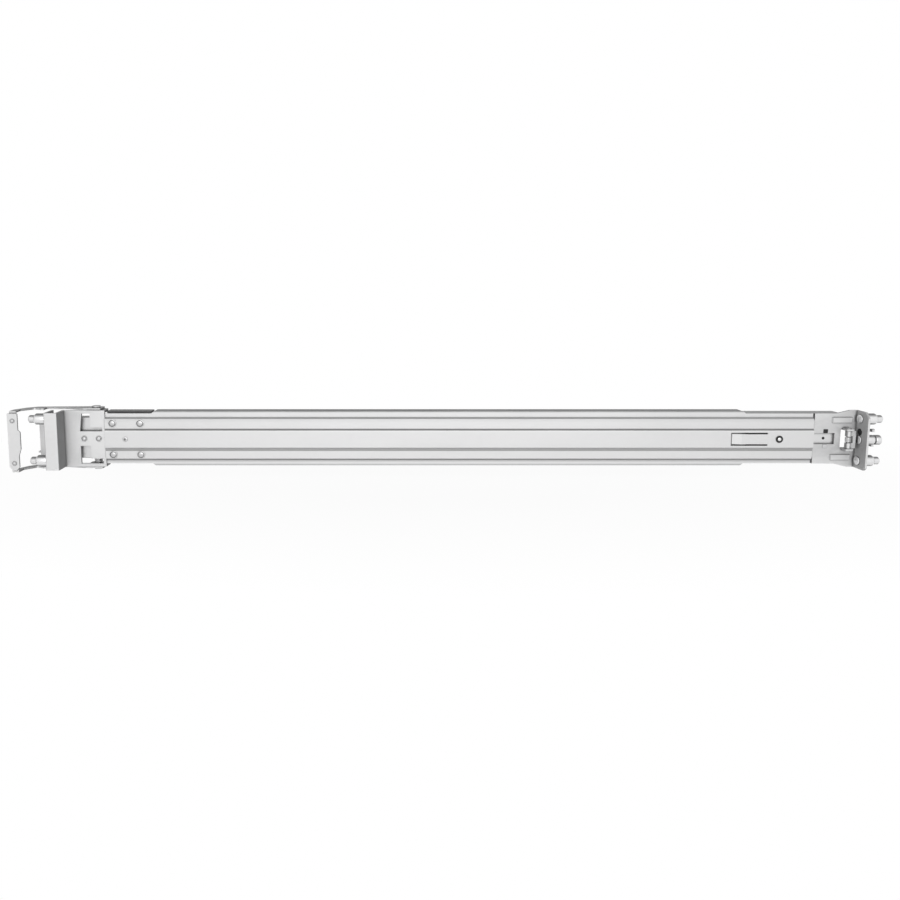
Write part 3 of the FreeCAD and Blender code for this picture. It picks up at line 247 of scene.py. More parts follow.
def plated_group():
    """Bright zinc plate over rolled sheet: fine lines along the rail, cloudy bath marks,
    brighter sharp corners that are partly rubbing and partly a painted highlight, painted shade
    where faces meet, a grain, and painted shade on the faces that look up or down and on the
    walls across the rail."""
    group, source, result = new_group(
        "plated_sheet",
        [("Base", "NodeSocketColor", grey(0.8)),
         ("Dull", "NodeSocketColor", grey(0.6)),
         ("Rough", "NodeSocketFloat", 0.3),
         ("Line", "NodeSocketFloat", 0.3),
         ("Wear and highlight", "NodeSocketFloat", 0.3),
         ("Corner shade", "NodeSocketFloat", 0.8),
         ("Reach", "NodeSocketFloat", 0.0022),
         ("Tilt shade", "NodeSocketFloat", 0.65),
         ("Across shade", "NodeSocketFloat", 0.0),
         ("Shade tone", "NodeSocketColor", grey(0.3)),
         ("Metal", "NodeSocketFloat", 0.55)],
        [("Color", "NodeSocketColor"), ("Roughness", "NodeSocketFloat"),
         ("Metallic", "NodeSocketFloat"), ("Height", "NodeSocketFloat")])

    def product(first, second):
        return math_node(group, "MULTIPLY", first, second)

    # bath marks: clouds and specks blend the bright tone into the dull one
    place = group.nodes.new("ShaderNodeTexCoord").outputs["Object"]
    lines = stretched_noise(group, place, scale=1500.0, stretch=60.0, detail=3.0)
    cloud = stretched_noise(group, place, scale=55.0, stretch=3.0, detail=5.0)
    specks = stretched_noise(group, place, scale=420.0, stretch=2.0, detail=2.0)
    blend = math_node(group, "ADD", product(cloud, 0.7), product(specks, 0.3))
    spread = map_range(group, *CLOUD_SPREAD)
    plate = colour_mix(group)
    wire(group, (blend, spread.inputs["Value"]), (spread.outputs[0], plate.inputs["Factor"]),
         (source.outputs["Base"], plate.inputs["A"]),
         (source.outputs["Dull"], plate.inputs["B"]))

    # edges: sharp outer edges are brightened, partly as rubbing of the zinc and partly as a
    # painted highlight
    edge_share = map_range(group, *EDGE_WEAR_AND_HIGHLIGHT)
    edge_brightened = colour_mix(group)
    edge_brightened.inputs["B"].default_value = grey(0.95)
    wire(group,
         (group.nodes.new("ShaderNodeNewGeometry").outputs["Pointiness"], edge_share.inputs["Value"]),
         (product(edge_share.outputs[0], source.outputs["Wear and highlight"]), edge_brightened.inputs["Factor"]),
         (plate.outputs["Result"], edge_brightened.inputs["A"]))

    # painted shade: the colour darkens towards near black where another face stands near
    corner = group.nodes.new("ShaderNodeAmbientOcclusion")
    corner.samples = 12
    hollow = map_range(group, *CORNER_SHADE_DEPTH)
    corner_shaded = colour_mix(group)
    corner_shaded.inputs["B"].default_value = (0.05, 0.05, 0.052, 1)
    wire(group, (source.outputs["Reach"], corner.inputs["Distance"]),
         (corner.outputs["AO"], hollow.inputs["Value"]),
         (product(hollow.outputs[0], source.outputs["Corner shade"]), corner_shaded.inputs["Factor"]),
         (edge_brightened.outputs["Result"], corner_shaded.inputs["A"]))

    # painted shade: it darkens the faces that look up or down and those across the rail, and
    # makes them less metallic
    facing = group.nodes.new("ShaderNodeSeparateXYZ")
    tilt_share = map_range(group, *SHADE_TILT)
    crosswise = map_range(group, *SHADE_ACROSS)
    cover = math_node(group, "MAXIMUM", product(tilt_share.outputs[0], source.outputs["Tilt shade"]),
                      product(crosswise.outputs[0], source.outputs["Across shade"]))
    side_shaded = colour_mix(group)
    wire(group, (group.nodes.new("ShaderNodeNewGeometry").outputs["Normal"], facing.inputs[0]),
         (math_node(group, "ABSOLUTE", facing.outputs["Z"], 0.0), tilt_share.inputs["Value"]),
         (math_node(group, "ABSOLUTE", facing.outputs["X"], 0.0), crosswise.inputs["Value"]),
         (cover, side_shaded.inputs["Factor"]), (source.outputs["Shade tone"], side_shaded.inputs["B"]),
         (corner_shaded.outputs["Result"], side_shaded.inputs["A"]),
         (side_shaded.outputs["Result"], result.inputs["Color"]),
         (product(source.outputs["Metal"], math_node(group, "SUBTRACT", 1.0, cover)),
          result.inputs["Metallic"]))

    # gloss and grain: the rolled lines and the bath marks roughen the plate
    streak = product(math_node(group, "SUBTRACT", lines, 0.35), source.outputs["Line"])
    matt = product(spread.outputs[0], 0.10)
    wire(group, (math_node(group, "ADD", source.outputs["Rough"],
                           math_node(group, "ADD", streak, matt)), result.inputs["Roughness"]),
         (math_node(group, "ADD", product(lines, 0.6), product(specks, 0.4)),
          result.inputs["Height"]))
    return group


# The strengths for faces that look up, down or across the rail, and their tone, paint shade
def metal(name, base, dull, rough, line, wear_and_highlight, bump=0.05, metallic=0.55, tilt_shade=0.85,
          across=0.0, reach=0.0022, corner_shade=0.8, shade_tone=0.3):
    """A plated or turned metal that takes its variation from the plated sheet group."""
    material = bpy.data.materials.new(name)
    material.use_nodes = True
    tree = material.node_tree
    shader = tree.nodes["Principled BSDF"]
    group = tree.nodes.new("ShaderNodeGroup")
    group.node_tree = bpy.data.node_groups.get("plated_sheet") or plated_group()
    for label, value in (("Base", grey(base, COLD)), ("Dull", grey(dull, COLD)),
                         ("Rough", rough), ("Line", line), ("Wear and highlight", wear_and_highlight), ("Tilt shade", tilt_shade),
                         ("Across shade", across), ("Reach", reach), ("Corner shade", corner_shade),
                         ("Shade tone", grey(shade_tone, COLD_SHADE)), ("Metal", metallic)):
        group.inputs[label].default_value = value
    relief = tree.nodes.new("ShaderNodeBump")
    relief.inputs["Strength"].default_value = bump
    relief.inputs["Distance"].default_value = RELIEF_DEPTH
    wire(tree, (group.outputs["Metallic"], shader.inputs["Metallic"]),
         (group.outputs["Color"], shader.inputs["Base Color"]),
         (group.outputs["Roughness"], shader.inputs["Roughness"]),
         (group.outputs["Height"], relief.inputs["Height"]),
         (relief.outputs[0], shader.inputs["Normal"]))
    material.diffuse_color = grey(base)
    return material


BEND_SHADE_BANDS = (   # painted shade bands beside each bend, one of them a painted highlight, in mm: height, reach up and down, how dark (or bright)
    (-20.8, 2.2, 0.4), (-16.8, 2.3, 0.3), (-8.5, 1.1, 0.75), (6.0, 0.5, -0.08),
    (7.4, 0.9, 0.7), (15.2, 2.8, 0.1), (20.8, 1.4, 0.3))
SHADE_BAND_BASELINE = 0.92       # share of the plate's tone between the painted bands, which leaves room for the painted highlight
SHADE_BAND_LIMIT = 21.0        # mm above and below the channel's middle that the painted bands are laid over


def band_shaded_channel(name, tone, rough):
    """Zinc plate with painted shade: long dark bands beside each bend, and one bright band as a
    painted highlight. The height across the channel picks a tone from the painted bands, and that
    tone darkens the plate."""
    tone /= SHADE_BAND_BASELINE
    material = metal(name, tone, tone * 0.94, rough, line=0.10, wear_and_highlight=0.5, tilt_shade=0.9, corner_shade=0.28)
    tree = material.node_tree
    shader = tree.nodes["Principled BSDF"]
    group = next(node for node in tree.nodes if node.type == "GROUP")
    place = tree.nodes.new("ShaderNodeTexCoord").outputs["Object"]
    parts = tree.nodes.new("ShaderNodeSeparateXYZ")
    height = map_range(tree, -SHADE_BAND_LIMIT * MM, SHADE_BAND_LIMIT * MM)
    ramp = tree.nodes.new("ShaderNodeValToRGB")
    stops = ramp.color_ramp.elements
    for stop in stops:
        stop.color = grey(SHADE_BAND_BASELINE)
    for band_middle, reach, dark in BEND_SHADE_BANDS:
        for spot, share in ((band_middle - reach, 1), (band_middle, 1 - dark), (band_middle + reach, 1)):
            if abs(spot) < SHADE_BAND_LIMIT:
                stops.new(0.5 + 0.5 * spot / SHADE_BAND_LIMIT).color = grey(share * SHADE_BAND_BASELINE)
    band_shade = colour_mix(tree)
    band_shade.blend_type = "MULTIPLY"
    band_shade.inputs["Factor"].default_value = 1.0
    wire(tree, (place, parts.inputs[0]), (parts.outputs["Z"], height.inputs["Value"]),
         (height.outputs[0], ramp.inputs["Fac"]), (group.outputs["Color"], band_shade.inputs["A"]),
         (ramp.outputs["Color"], band_shade.inputs["B"]),
         (band_shade.outputs["Result"], shader.inputs["Base Color"]))
    return material


def rubber(name, value):
    """Matt moulded rubber: near black, with a fine pebbled bump."""
    material = bpy.data.materials.new(name)
    material.use_nodes = True
    tree = material.node_tree
    shader = tree.nodes["Principled BSDF"]
    place = tree.nodes.new("ShaderNodeTexCoord").outputs["Object"]
    grain = stretched_noise(tree, place, scale=900.0, stretch=1.0, detail=2.0)
    ramp = tree.nodes.new("ShaderNodeValToRGB")
    ramp.color_ramp.elements[0].color = grey(value * 0.7)
    ramp.color_ramp.elements[1].color = grey(value * 1.6)
    relief = tree.nodes.new("ShaderNodeBump")
    relief.inputs["Strength"].default_value = 0.2
    relief.inputs["Distance"].default_value = RELIEF_DEPTH
    shader.inputs["Roughness"].default_value = 0.75
    wire(tree, (grain, ramp.inputs["Fac"]), (ramp.outputs[0], shader.inputs["Base Color"]),
         (grain, relief.inputs["Height"]), (relief.outputs[0], shader.inputs["Normal"]))
    return material


def finish(name):
    """The named finish, which the finishes operator has made."""
    material = bpy.data.materials.get(name)
    if material is None:
        raise RuntimeError(f"the finish {name} isn't there: run the finishes operator first")
    return material


SHEET_NODES = ("front_bracket", "rear_latch",
               "latch_arm_upper", "latch_arm_lower", "latch_pull_plate", "release_lever")
SLIDE_NODES = ("outer_slide_member", "middle_slide_member", "inner_slide_member",
               "outer_ball_cage", "inner_ball_cage")
TURNED_NODES = ("front_pins", "rear_pins", "rear_centre_pin", "bracket_rivets", "centre_screw",
                "band_rivets", "guide_rivet", "latch_pivots", "pull_plate_rivets",
                "rear_hinge_pin", "lever_rivet")
SPRING_NODES = ("front_latch_springs", "rear_latch_spring")


class RailFinishSettings(bpy.types.PropertyGroup):
    plate_tone: bpy.props.FloatProperty(
        name="Plate tone", description="Grey value of the zinc plate", default=0.76,
        min=0.2, max=1.0, subtype="FACTOR")
    plate_roughness: bpy.props.FloatProperty(
        name="Plate roughness", description="How matt the zinc plate is", default=0.42,
        min=0.05, max=1.0, subtype="FACTOR")


class RailStageSettings(bpy.types.PropertyGroup):
    floor_drop: bpy.props.FloatProperty(
        name="Floor drop", description="Depth of the floor under the rail's middle",
        default=0.028, unit="LENGTH")
    lamp_power: bpy.props.FloatProperty(
        name="Lamp power", description="Power that the two soft lamps take their shares of",
        default=2.9, unit="POWER")


class RAIL_OT_finishes(bpy.types.Operator):
    """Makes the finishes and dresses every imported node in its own"""
    bl_idname = "rail.finishes"
    bl_label = "Finishes"

    def execute(self, context):
        want = context.scene.rail_finish
        tone, rough = want.plate_tone, want.plate_roughness
        metal("bracket_zinc", tone, tone * 0.90, rough, line=0.10, wear_and_highlight=0.5, across=1.0)
        metal("flange_zinc", tone, tone * 0.8, rough, line=0.10, wear_and_highlight=0.5, across=0.5)
        metal("slide_zinc", tone * 0.93, tone * 0.82, rough * 0.8, line=0.22, wear_and_highlight=0.5,
              reach=0.0026)
        metal("bright_pin", tone * 1.2, tone, rough * 0.55, line=0.12, wear_and_highlight=0.4, bump=0.02,
              metallic=0.8, tilt_shade=0.95, shade_tone=0.13)
        metal("spring_wire", tone * 1.1, tone * 0.9, rough * 0.6, line=0.1, wear_and_highlight=0.3, bump=0.02,
              tilt_shade=0.2, corner_shade=0.3)
        band_shaded_channel("band_shaded_channel", tone, rough)
        metal("rivet_steel", tone * 0.85, tone * 0.7, rough * 0.7, line=0.12, wear_and_highlight=0.4,
              bump=0.02, metallic=0.8, tilt_shade=0.3)
        # a near black finish for the dark block, which paints shade
        metal("shade_block_dark", 0.13, 0.08, rough=0.5, line=0.1, wear_and_highlight=0.2, metallic=0.2, tilt_shade=0.1)
        rubber("bumper_rubber", 0.03)
        groups = (("band_shaded_channel", "zinc_sheet", ("support_channel",)),
                  ("bracket_zinc", "zinc_sheet", SHEET_NODES),
                  ("flange_zinc", "zinc_sheet", ("extension_plate",)),
                  ("slide_zinc", "slide_steel", SLIDE_NODES),
                  ("bright_pin", "turned_steel", TURNED_NODES),
                  ("spring_wire", "spring_steel", SPRING_NODES),
                  ("bumper_rubber", "black_rubber", ("closing_bumper",)))
        for look, slot_name, names in groups:
            for name in names:
                NODES[name].data.materials.clear()
                NODES[name].data.materials.append(finish(look))
        return {"FINISHED"}


# ------------------------------------------------------- turned and wound pieces

CAP = 0.01                   # radius of the tiny flat cap that closes a turned end
CREASE = 40                  # degrees past which two faces of a fine piece meet sharply

# places along Y, where heads stand and shanks end
CENTRE_BAND, OUTER_BAND = 1.8, 3.0     # outboard faces of the channel's centre and outer bands
BRACKET_TAIL = 4.2                     # outboard face of the front bracket's bridge
SLIDE_BACK = 7.2                       # inboard face of the outer slide member's web
PULL_PLATE, TAB_BACK = -9.0, -6.07     # outboard face of the pull plate, end of its rivets
LEVER_SEAT, INNER_BACK = 13.8, 16.8    # a gap outboard of the lever, inner member's far face

HOLE_RISE = 15.875                     # outer holes above and below the middle one
PIN_BODY, PIN_REACH = 9.8, 14.4        # how far a pin's round body and its tip stand out
PIN_STEM, PIN_TAIL = 2.4, 3.3          # radii of its stem and of its riveted tail
PIN_EDGE = 0.9                         # height of the tail, and depth of the body's chamfer
BODY_SLANT, TAIL_SLANT = 1.2, 0.35     # lengths of the chamfers on body and tail
TAIL_EDGE = 0.7                        # depth of the tail's chamfer
REAR_WALL = 1.5                        # thickness of the plate that the rear pins stand in
WIRE = 0.32                            # radius of the springs' wire


def rounded(profile, reach, steps=4):
    """The profile with its corners rounded: each corner's two neighbours at the reach are
    joined by the curve (1 - t)^2 * before + 2t(1 - t) * corner + t^2 * after. The reach is
    held to 0.45 of each side."""
    profile = np.asarray(profile, float)
    out = [profile[0]]
    t = np.linspace(0, 1, steps)[:, None]
    for before, corner, after in zip(profile[:-2], profile[1:-1], profile[2:]):
        first, last = before - corner, after - corner
        one = corner + first * min(0.45, reach / max(np.linalg.norm(first), 1e-9))
        two = corner + last * min(0.45, reach / max(np.linalg.norm(last), 1e-9))
        out += list((1 - t) ** 2 * one + 2 * t * (1 - t) * corner + t ** 2 * two)
    out.append(profile[-1])
    return np.array(out)


def mount_pin(sheet_face, way, rise, body=4.2, tip=2.9, wall=1.8):
    """Stepped pin: riveted tail, stem through the sheet, round body and a nose that steps
    down to the tip. A tip about as wide as the body leaves a groove between them instead.
    Lengths run from the sheet's outer face."""
    tail = -wall - PIN_EDGE
    profile = [(tail, CAP), (tail, PIN_TAIL - TAIL_EDGE), (tail + TAIL_SLANT, PIN_TAIL),
               (-wall, PIN_TAIL), (-wall, PIN_STEM), (0, PIN_STEM), (0, body),
               (PIN_BODY - BODY_SLANT, body),
               (PIN_BODY, body - PIN_EDGE), (PIN_BODY, tip), (PIN_REACH - PIN_EDGE, tip),
               (PIN_REACH, tip - PIN_EDGE), (PIN_REACH, CAP)]
    profile = rounded(profile, 0.3) * MM
    mesh = turned(profile, (sheet_face * MM, 0, rise * MM), (way, 0, 0), 56)
    smooth_by_angle(mesh, 50)
    return mesh


def domed_rivet(x, z, face, back, head, shank, high):
    """Rivet along Y whose head stands on the face and whose plain shank ends at the back: a
    flat rim, a moat inside it and a round crown, which at the share r of its radius is
    high * (0.3 + 0.7 * the root of 1 - (0.9 r)^2) tall."""
    near = face - high
    r = np.linspace(1, 0.015, 8)
    crown = high * (0.3 + 0.7 * (1 - (0.9 * r) ** 2) ** 0.5)
    # the rim and the moat, as shares of the head's height and radius
    rim = [(0.55 * high, head), (0.42 * high, 0.95 * head), (0.42 * high, 0.84 * head),
           (0.85 * high, 0.76 * head)]
    profile = [(back - near, CAP), (back - near, shank), (high, shank), (high, head)] + rim
    profile += [(high - c, 0.68 * head * q) for c, q in zip(crown, r)]
    mesh = turned(np.array(profile) * MM, (x * MM, near * MM, z * MM), (0, 1, 0))
    smooth_by_angle(mesh, CREASE)
    return mesh


def recessed_screw(x, face, back, head, shank, high):
    """Pan screw along Y: its six-sided socket is a ring of walls whose radius is
    0.5 * head * cos(30) / cos(angle within each sixth), sunk into the crowned head."""
    near, steps = face - high, 48
    angle = np.linspace(0, 2 * math.pi, steps, endpoint=False)
    sixth = np.mod(angle, math.pi / 3) - math.pi / 6
    hexed = 0.5 * head * math.cos(math.pi / 6) / np.cos(sixth)
    one = np.ones(steps)
    rows = [(back - near, CAP * one), (back - near, shank * one), (high, shank * one),
            (high, head * one), (0.5 * high, head * one), (0.1 * high, 0.86 * head * one),
            (0.0, 0.7 * head * one), (0.0, hexed), (0.85 * high, hexed * 0.97),
            (0.9 * high, CAP * one)]
    points = np.stack([np.stack([(x + r * np.sin(angle)) * MM, np.full(steps, (near + t) * MM),
                                 r * np.cos(angle) * MM], axis=-1) for t, r in rows])
    mesh = grid_mesh("screw", points, close=True, caps=True)
    face_outwards(mesh)
    smooth_by_angle(mesh, 35)
    return mesh


def coil(x, y, low, high, radius, turns, legs):
    """Torsion spring round Z: the wire's middle is at radius * (cos a, sin a), rising evenly
    with a, and each end leaves on a straight leg in line with the wire's last stretch."""
    a = np.linspace(0, 2 * math.pi * turns, 28 * turns)
    z = np.linspace(low + WIRE, high - WIRE, a.size)
    path = np.stack([x + radius * np.cos(a), y + radius * np.sin(a), z], axis=-1)
    first = path[0] - (path[1] - path[0]) / np.linalg.norm(path[1] - path[0]) * legs[0]
    last = path[-1] + (path[-1] - path[-2]) / np.linalg.norm(path[-1] - path[-2]) * legs[1]
    path = np.concatenate([[first], path, [last]]) * MM
    return tube(path, WIRE * MM, 10)


def ball(x, y, z, radius):
    """Sphere: latitude and longitude give radius * (sin b cos a, cos b, sin b sin a). Tiny
    flat caps close its poles."""
    b = np.linspace(0.02, math.pi - 0.02, 9)[:, None]
    a = np.linspace(0, 2 * math.pi, 14, endpoint=False)[None]
    points = np.stack([x + radius * np.sin(b) * np.cos(a), y + radius * np.cos(b) + 0 * a,
                       z + radius * np.sin(b) * np.sin(a)], axis=-1) * MM
    mesh = grid_mesh("ball", points, close=True, caps=True)
    face_outwards(mesh)
    return mesh


def cage_strip(start, end, near, far, high, wall):
    """Folded strip: a C-shaped outline in Y and Z carried along X, its corners rounded."""
    top, low = high + 0.5 * wall, high - 0.5 * wall
    half = [(near, 0.0), (near, top), (far, top), (far, low), (near + wall, low),
            (near + wall, 0.0)]
    outline = rounded(half, 0.35)
    mirror = outline[::-1][1:-1] * (1, -1)
    outline = np.concatenate([outline, mirror])
    x = np.array([start, end])
    points = np.empty((2, len(outline), 3))
    points[..., 0] = x[:, None]
    points[..., 1:] = outline[None]
    mesh = grid_mesh("strip", points * MM, close=True, caps=True)
    face_outwards(mesh)
    smooth_by_angle(mesh, 30)
    return mesh


class RAIL_OT_mount_pins(bpy.types.Operator):
    """Turns the four stepped pins and the grooved centre pin that stand in the rack's holes"""
    bl_idname = "rail.mount_pins"
    bl_label = "Mounting pins"

    def execute(self, context):
        rises = (-HOLE_RISE, HOLE_RISE)
        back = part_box("extension_plate")[1].x / MM
        front = join_meshes("front", [mount_pin(0, -1, z) for z in rises], CREASE)
        rear = join_meshes("rear", [mount_pin(back, 1, z, wall=REAR_WALL) for z in rises], CREASE)
        middle = mount_pin(back, 1, 0, body=3.7, tip=3.69, wall=REAR_WALL)
        steel = finish("bright_pin")
        add_piece("turned_front_pins", front, "rail", steel, "turned_steel", "front_pins")
        add_piece("turned_rear_pins", rear, "rear_extension", steel, "turned_steel", "rear_pins")
        add_piece("turned_centre_pin", middle, "rear_extension", steel, "turned_steel",
                  "rear_centre_pin")
        return {"FINISHED"}


BRACKET_RIVETS, BRACKET_RISE = (46.7, 67.6), 12      # columns of the four, their height
BAND_RIVETS = (24.6, 35.6)                           # the two in the bracket's bridge
PLATE_RIVETS, PLATE_RISE = -22.7, 16                 # the two that hold the pull plate
GUIDE_RIVET, LEVER_RIVET, SOCKET_SCREW = 549.5, 150, 56.4
GUIDE_HIGH = 0.7                                     # height of the guide rivet's head


class RAIL_OT_rivets(bpy.types.Operator):
    """Sets the crowned rivets, the guide rivet on its dark seat and the socket screw"""
    bl_idname = "rail.rivets"
    bl_label = "Rivets and screw"

    def execute(self, context):
        steel, zinc = finish("rivet_steel"), finish("bracket_zinc")
        four = [domed_rivet(x, z, OUTER_BAND, SLIDE_BACK, head=3.0, shank=1.6, high=0.9)
                for x in BRACKET_RIVETS for z in (-BRACKET_RISE, BRACKET_RISE)]
        add_piece("crowned_bracket_rivets", join_meshes("four", four, CREASE), "rail", steel,
                  "turned_steel", "bracket_rivets")
        two = [domed_rivet(x, 0, BRACKET_TAIL, SLIDE_BACK, head=2.1, shank=1.2, high=0.9)
               for x in BAND_RIVETS]
        add_piece("crowned_band_rivets", join_meshes("two", two, CREASE), "rail", zinc,
                  "turned_steel", "band_rivets")
        plate = [domed_rivet(PLATE_RIVETS, z, PULL_PLATE, TAB_BACK, head=1.7, shank=1.1,
                             high=0.63) for z in (-PLATE_RISE, PLATE_RISE)]
        add_piece("crowned_plate_rivets", join_meshes("plate", plate, CREASE), "front_latch",
                  zinc, "turned_steel", "pull_plate_rivets")
        guide = domed_rivet(GUIDE_RIVET, 0, CENTRE_BAND, SLIDE_BACK, head=2.1, shank=1.6,
                            high=GUIDE_HIGH)
        add_piece("crowned_guide_rivet", guide, "rail", finish("bright_pin"), "turned_steel",
                  "guide_rivet")
        # the seat's lengths run from the top of that head down to the band
        seat = turned(np.array([(GUIDE_HIGH, CAP), (GUIDE_HIGH, 2.7), (0.35, 2.7), (0.2, 2.5),
                                (0.2, CAP)]) * MM,
                      (GUIDE_RIVET * MM, (CENTRE_BAND - GUIDE_HIGH) * MM, 0), (0, 1, 0))
        smooth_by_angle(seat, CREASE)
        add_piece("guide_rivet_seat", seat, "rail", finish("bumper_rubber"), "black_rubber")
        lever = domed_rivet(LEVER_RIVET, 0, LEVER_SEAT, INNER_BACK, head=2.8, shank=1.6, high=0.9)
        add_piece("crowned_lever_rivet", lever, "inner_member", steel, "turned_steel",
                  "lever_rivet")
        screw = recessed_screw(SOCKET_SCREW, CENTRE_BAND, SLIDE_BACK, head=1.9, shank=1.1,
                               high=0.7)
        add_piece("socket_screw", screw, "rail", steel, "turned_steel", "centre_screw")
        return {"FINISHED"}


LATCH_PIVOT, LATCH_COIL = (32.7, 10.2), 2.6      # X and Y of the arms' pivots, coil radius
REAR_HINGE, REAR_COIL = (600.6, 0.9), 1.8        # the same for the hook's hinge
SPRING_LOW, SPRING_HIGH = 16.95, 19.65           # ends of the upper latch spring
REAR_SPRING_HALF = 2.1


class RAIL_OT_springs(bpy.types.Operator):
    """Winds the torsion springs round the latch pivots and the rear hinge pin"""
    bl_idname = "rail.springs"
    bl_label = "Latch springs"

    def execute(self, context):
        steel = finish("spring_wire")
        pair = [coil(*LATCH_PIVOT, SPRING_LOW, SPRING_HIGH, LATCH_COIL, turns=4,
                     legs=(2.5, 2.0)),
                coil(*LATCH_PIVOT, -SPRING_HIGH, -SPRING_LOW, LATCH_COIL, turns=4,
                     legs=(2.0, 2.5))]
        add_piece("wound_latch_springs", join_meshes("pair", pair), "rail", steel,
                  "spring_steel", "front_latch_springs")
        rear = coil(*REAR_HINGE, -REAR_SPRING_HALF, REAR_SPRING_HALF, REAR_COIL, turns=6,
                    legs=(0.8, 0.8))
        add_piece("wound_rear_spring", rear, "rear_extension", steel, "spring_steel",
                  "rear_latch_spring")
        return {"FINISHED"}


CAGES = (   # node, body, ends along X, folds along Y, height of the ball rows, their depth
    ("outer_ball_cage", "outer_cage", (258.5, 533.5), (7.35, 13.2), 16.97, 11.0),
    ("inner_ball_cage", "inner_cage", (205.5, 485.5), (9.25, 14.55), 13.41, 12.35))
CAGE_WALL = 0.5
BALLS, BALL_RADIUS, BALL_END = 22, 1.2, 15     # in a row, and the last one's gap to the end


class RAIL_OT_ball_cages(bpy.types.Operator):
    """Folds the two ball cages and fills their rows with steel balls"""
    bl_idname = "rail.ball_cages"
    bl_label = "Ball cages"

    def execute(self, context):
        for name, body, (start, end), (near, far), high, deep in CAGES:
            strip = cage_strip(start, end, near, far, high, CAGE_WALL)
            balls = [ball(x, deep, sign * high, BALL_RADIUS) for sign in (-1, 1)
                     for x in np.linspace(start + BALL_END, end - BALL_END, BALLS)]
            mesh = join_meshes(name, [strip] + balls, 30)
            add_piece("filled_" + name, mesh, body, finish("bright_pin"), "slide_steel", name)
        return {"FINISHED"}


BLOCK_GRID = 13          # points along each edge of a soft block's sides
RIM_CROWDING = 2.5       # how strongly they crowd towards the rim, where the rounding is


def soft_block(low, high, ease):
    """Block with rounded edges: each point of a cube's grid is pulled onto a sphere of the
    ease round the nearest point of the block shrunk by the ease."""
    low, high = np.asarray(low, float), np.asarray(high, float)
    ease = min(ease, 0.49 * (high - low).min())
    line = np.linspace(-1, 1, BLOCK_GRID)
    u, v = np.meshgrid(line, line, indexing="ij")
    middle, half = (low + high) / 2, (high - low) / 2
    sides = []
    for axis in range(3):
        for sign in (-1.0, 1.0):
            cube = np.empty(u.shape + (3,))
            cube[..., axis] = sign
            cube[..., (axis + 1) % 3], cube[..., (axis + 2) % 3] = u, v
            cube = np.sign(cube) * (1 - (1 - np.abs(cube)) ** RIM_CROWDING)
            point = cube * half
            core = np.clip(point, -(half - ease), half - ease)
            away = point - core
            length = np.maximum(np.linalg.norm(away, axis=-1, keepdims=True), 1e-12)
            sides.append(grid_mesh("side", (middle + core + away / length * ease) * MM))
    mesh = join_meshes("block", sides)
    face_outwards(mesh, 1e-6)
    return mesh


# opposite corners of the dark block that paints shade at the channel's front end, and of the
# guide slot's two stops
SHADE_BLOCK = (41.6, 6.3, 19.45), (75.4, 15.0, 20.75)
UPPER_STOP = (583.9, 4.05, 4.2), (587.2, 4.6, 7.2)
LOWER_STOP = (583.9, 4.05, -7.2), (587.2, 4.6, -4.6)
SLOT_SHADE_START, SLOT_SHADE_END = (524.5, 1.72), (540.3, 2.6)       # X and Y of the black fills that paint the shade in the tongue's slots
SLOT_SHADE_RISE, SLOT_SHADE_HALF = 4.4, 0.65
PLUG_PLACE = (608.25, -0.5, 6.0)
DIMPLE_SHADE_PLACE = (585, 6.0, 0)
SHADE_BLOCK_EDGE, SOFT_EDGE = 0.4, 0.2                       # how far their edges are rounded


class RAIL_OT_liners(bpy.types.Operator):
    """Lays the dark block that paints shade at the channel's front end, the plug, the slot's
    stops, and the black fills and black disc that paint shade in the tongue's slots and the
    dimple
    """
    bl_idname = "rail.liners"
    bl_label = "Liners and plug"

    def execute(self, context):
        dark, black = finish("shade_block_dark"), finish("bumper_rubber")
        add_piece("dark_shade_block", soft_block(*SHADE_BLOCK, SHADE_BLOCK_EDGE), "rail", dark, "black_rubber")
        plug = turned(np.array([(0, CAP), (0, 2.3), (0.25, 2.66), (1.3, 2.66), (1.3, CAP)]) * MM,
                      np.array(PLUG_PLACE) * MM, (1, 0, 0))
        smooth_by_angle(plug, CREASE)
        add_piece("window_plug", plug, "rear_extension", black, "black_rubber")
        add_piece("slot_stop_upper", soft_block(*UPPER_STOP, SOFT_EDGE), "rear_extension", black,
                  "black_rubber")
        add_piece("slot_stop_lower", soft_block(*LOWER_STOP, SOFT_EDGE), "rear_extension",
                  finish("bracket_zinc"), "zinc_sheet")
        # black fills in the tongue's slots paint the shade inside them
        slot_shades = [soft_block((*SLOT_SHADE_START, z - SLOT_SHADE_HALF), (*SLOT_SHADE_END, z + SLOT_SHADE_HALF), SOFT_EDGE)
                for z in (-SLOT_SHADE_RISE, SLOT_SHADE_RISE)]
        add_piece("tongue_slot_shade_fills", join_meshes("slot_shades", slot_shades), "rail", black, "black_rubber")
        # a black disc paints the shade in the dimple
        shade_disc = turned(np.array([(-0.08, CAP), (-0.08, 0.9), (0.02, 1.1), (0.2, 1.1),
                               (0.2, CAP)]) * MM, np.array(DIMPLE_SHADE_PLACE) * MM, (0, 1, 0), 32)
        add_piece("dimple_shade_disc", shade_disc, "rail", black, "black_rubber")
        return {"FINISHED"}


# ---------------------------------------------------------------- stage, in metres

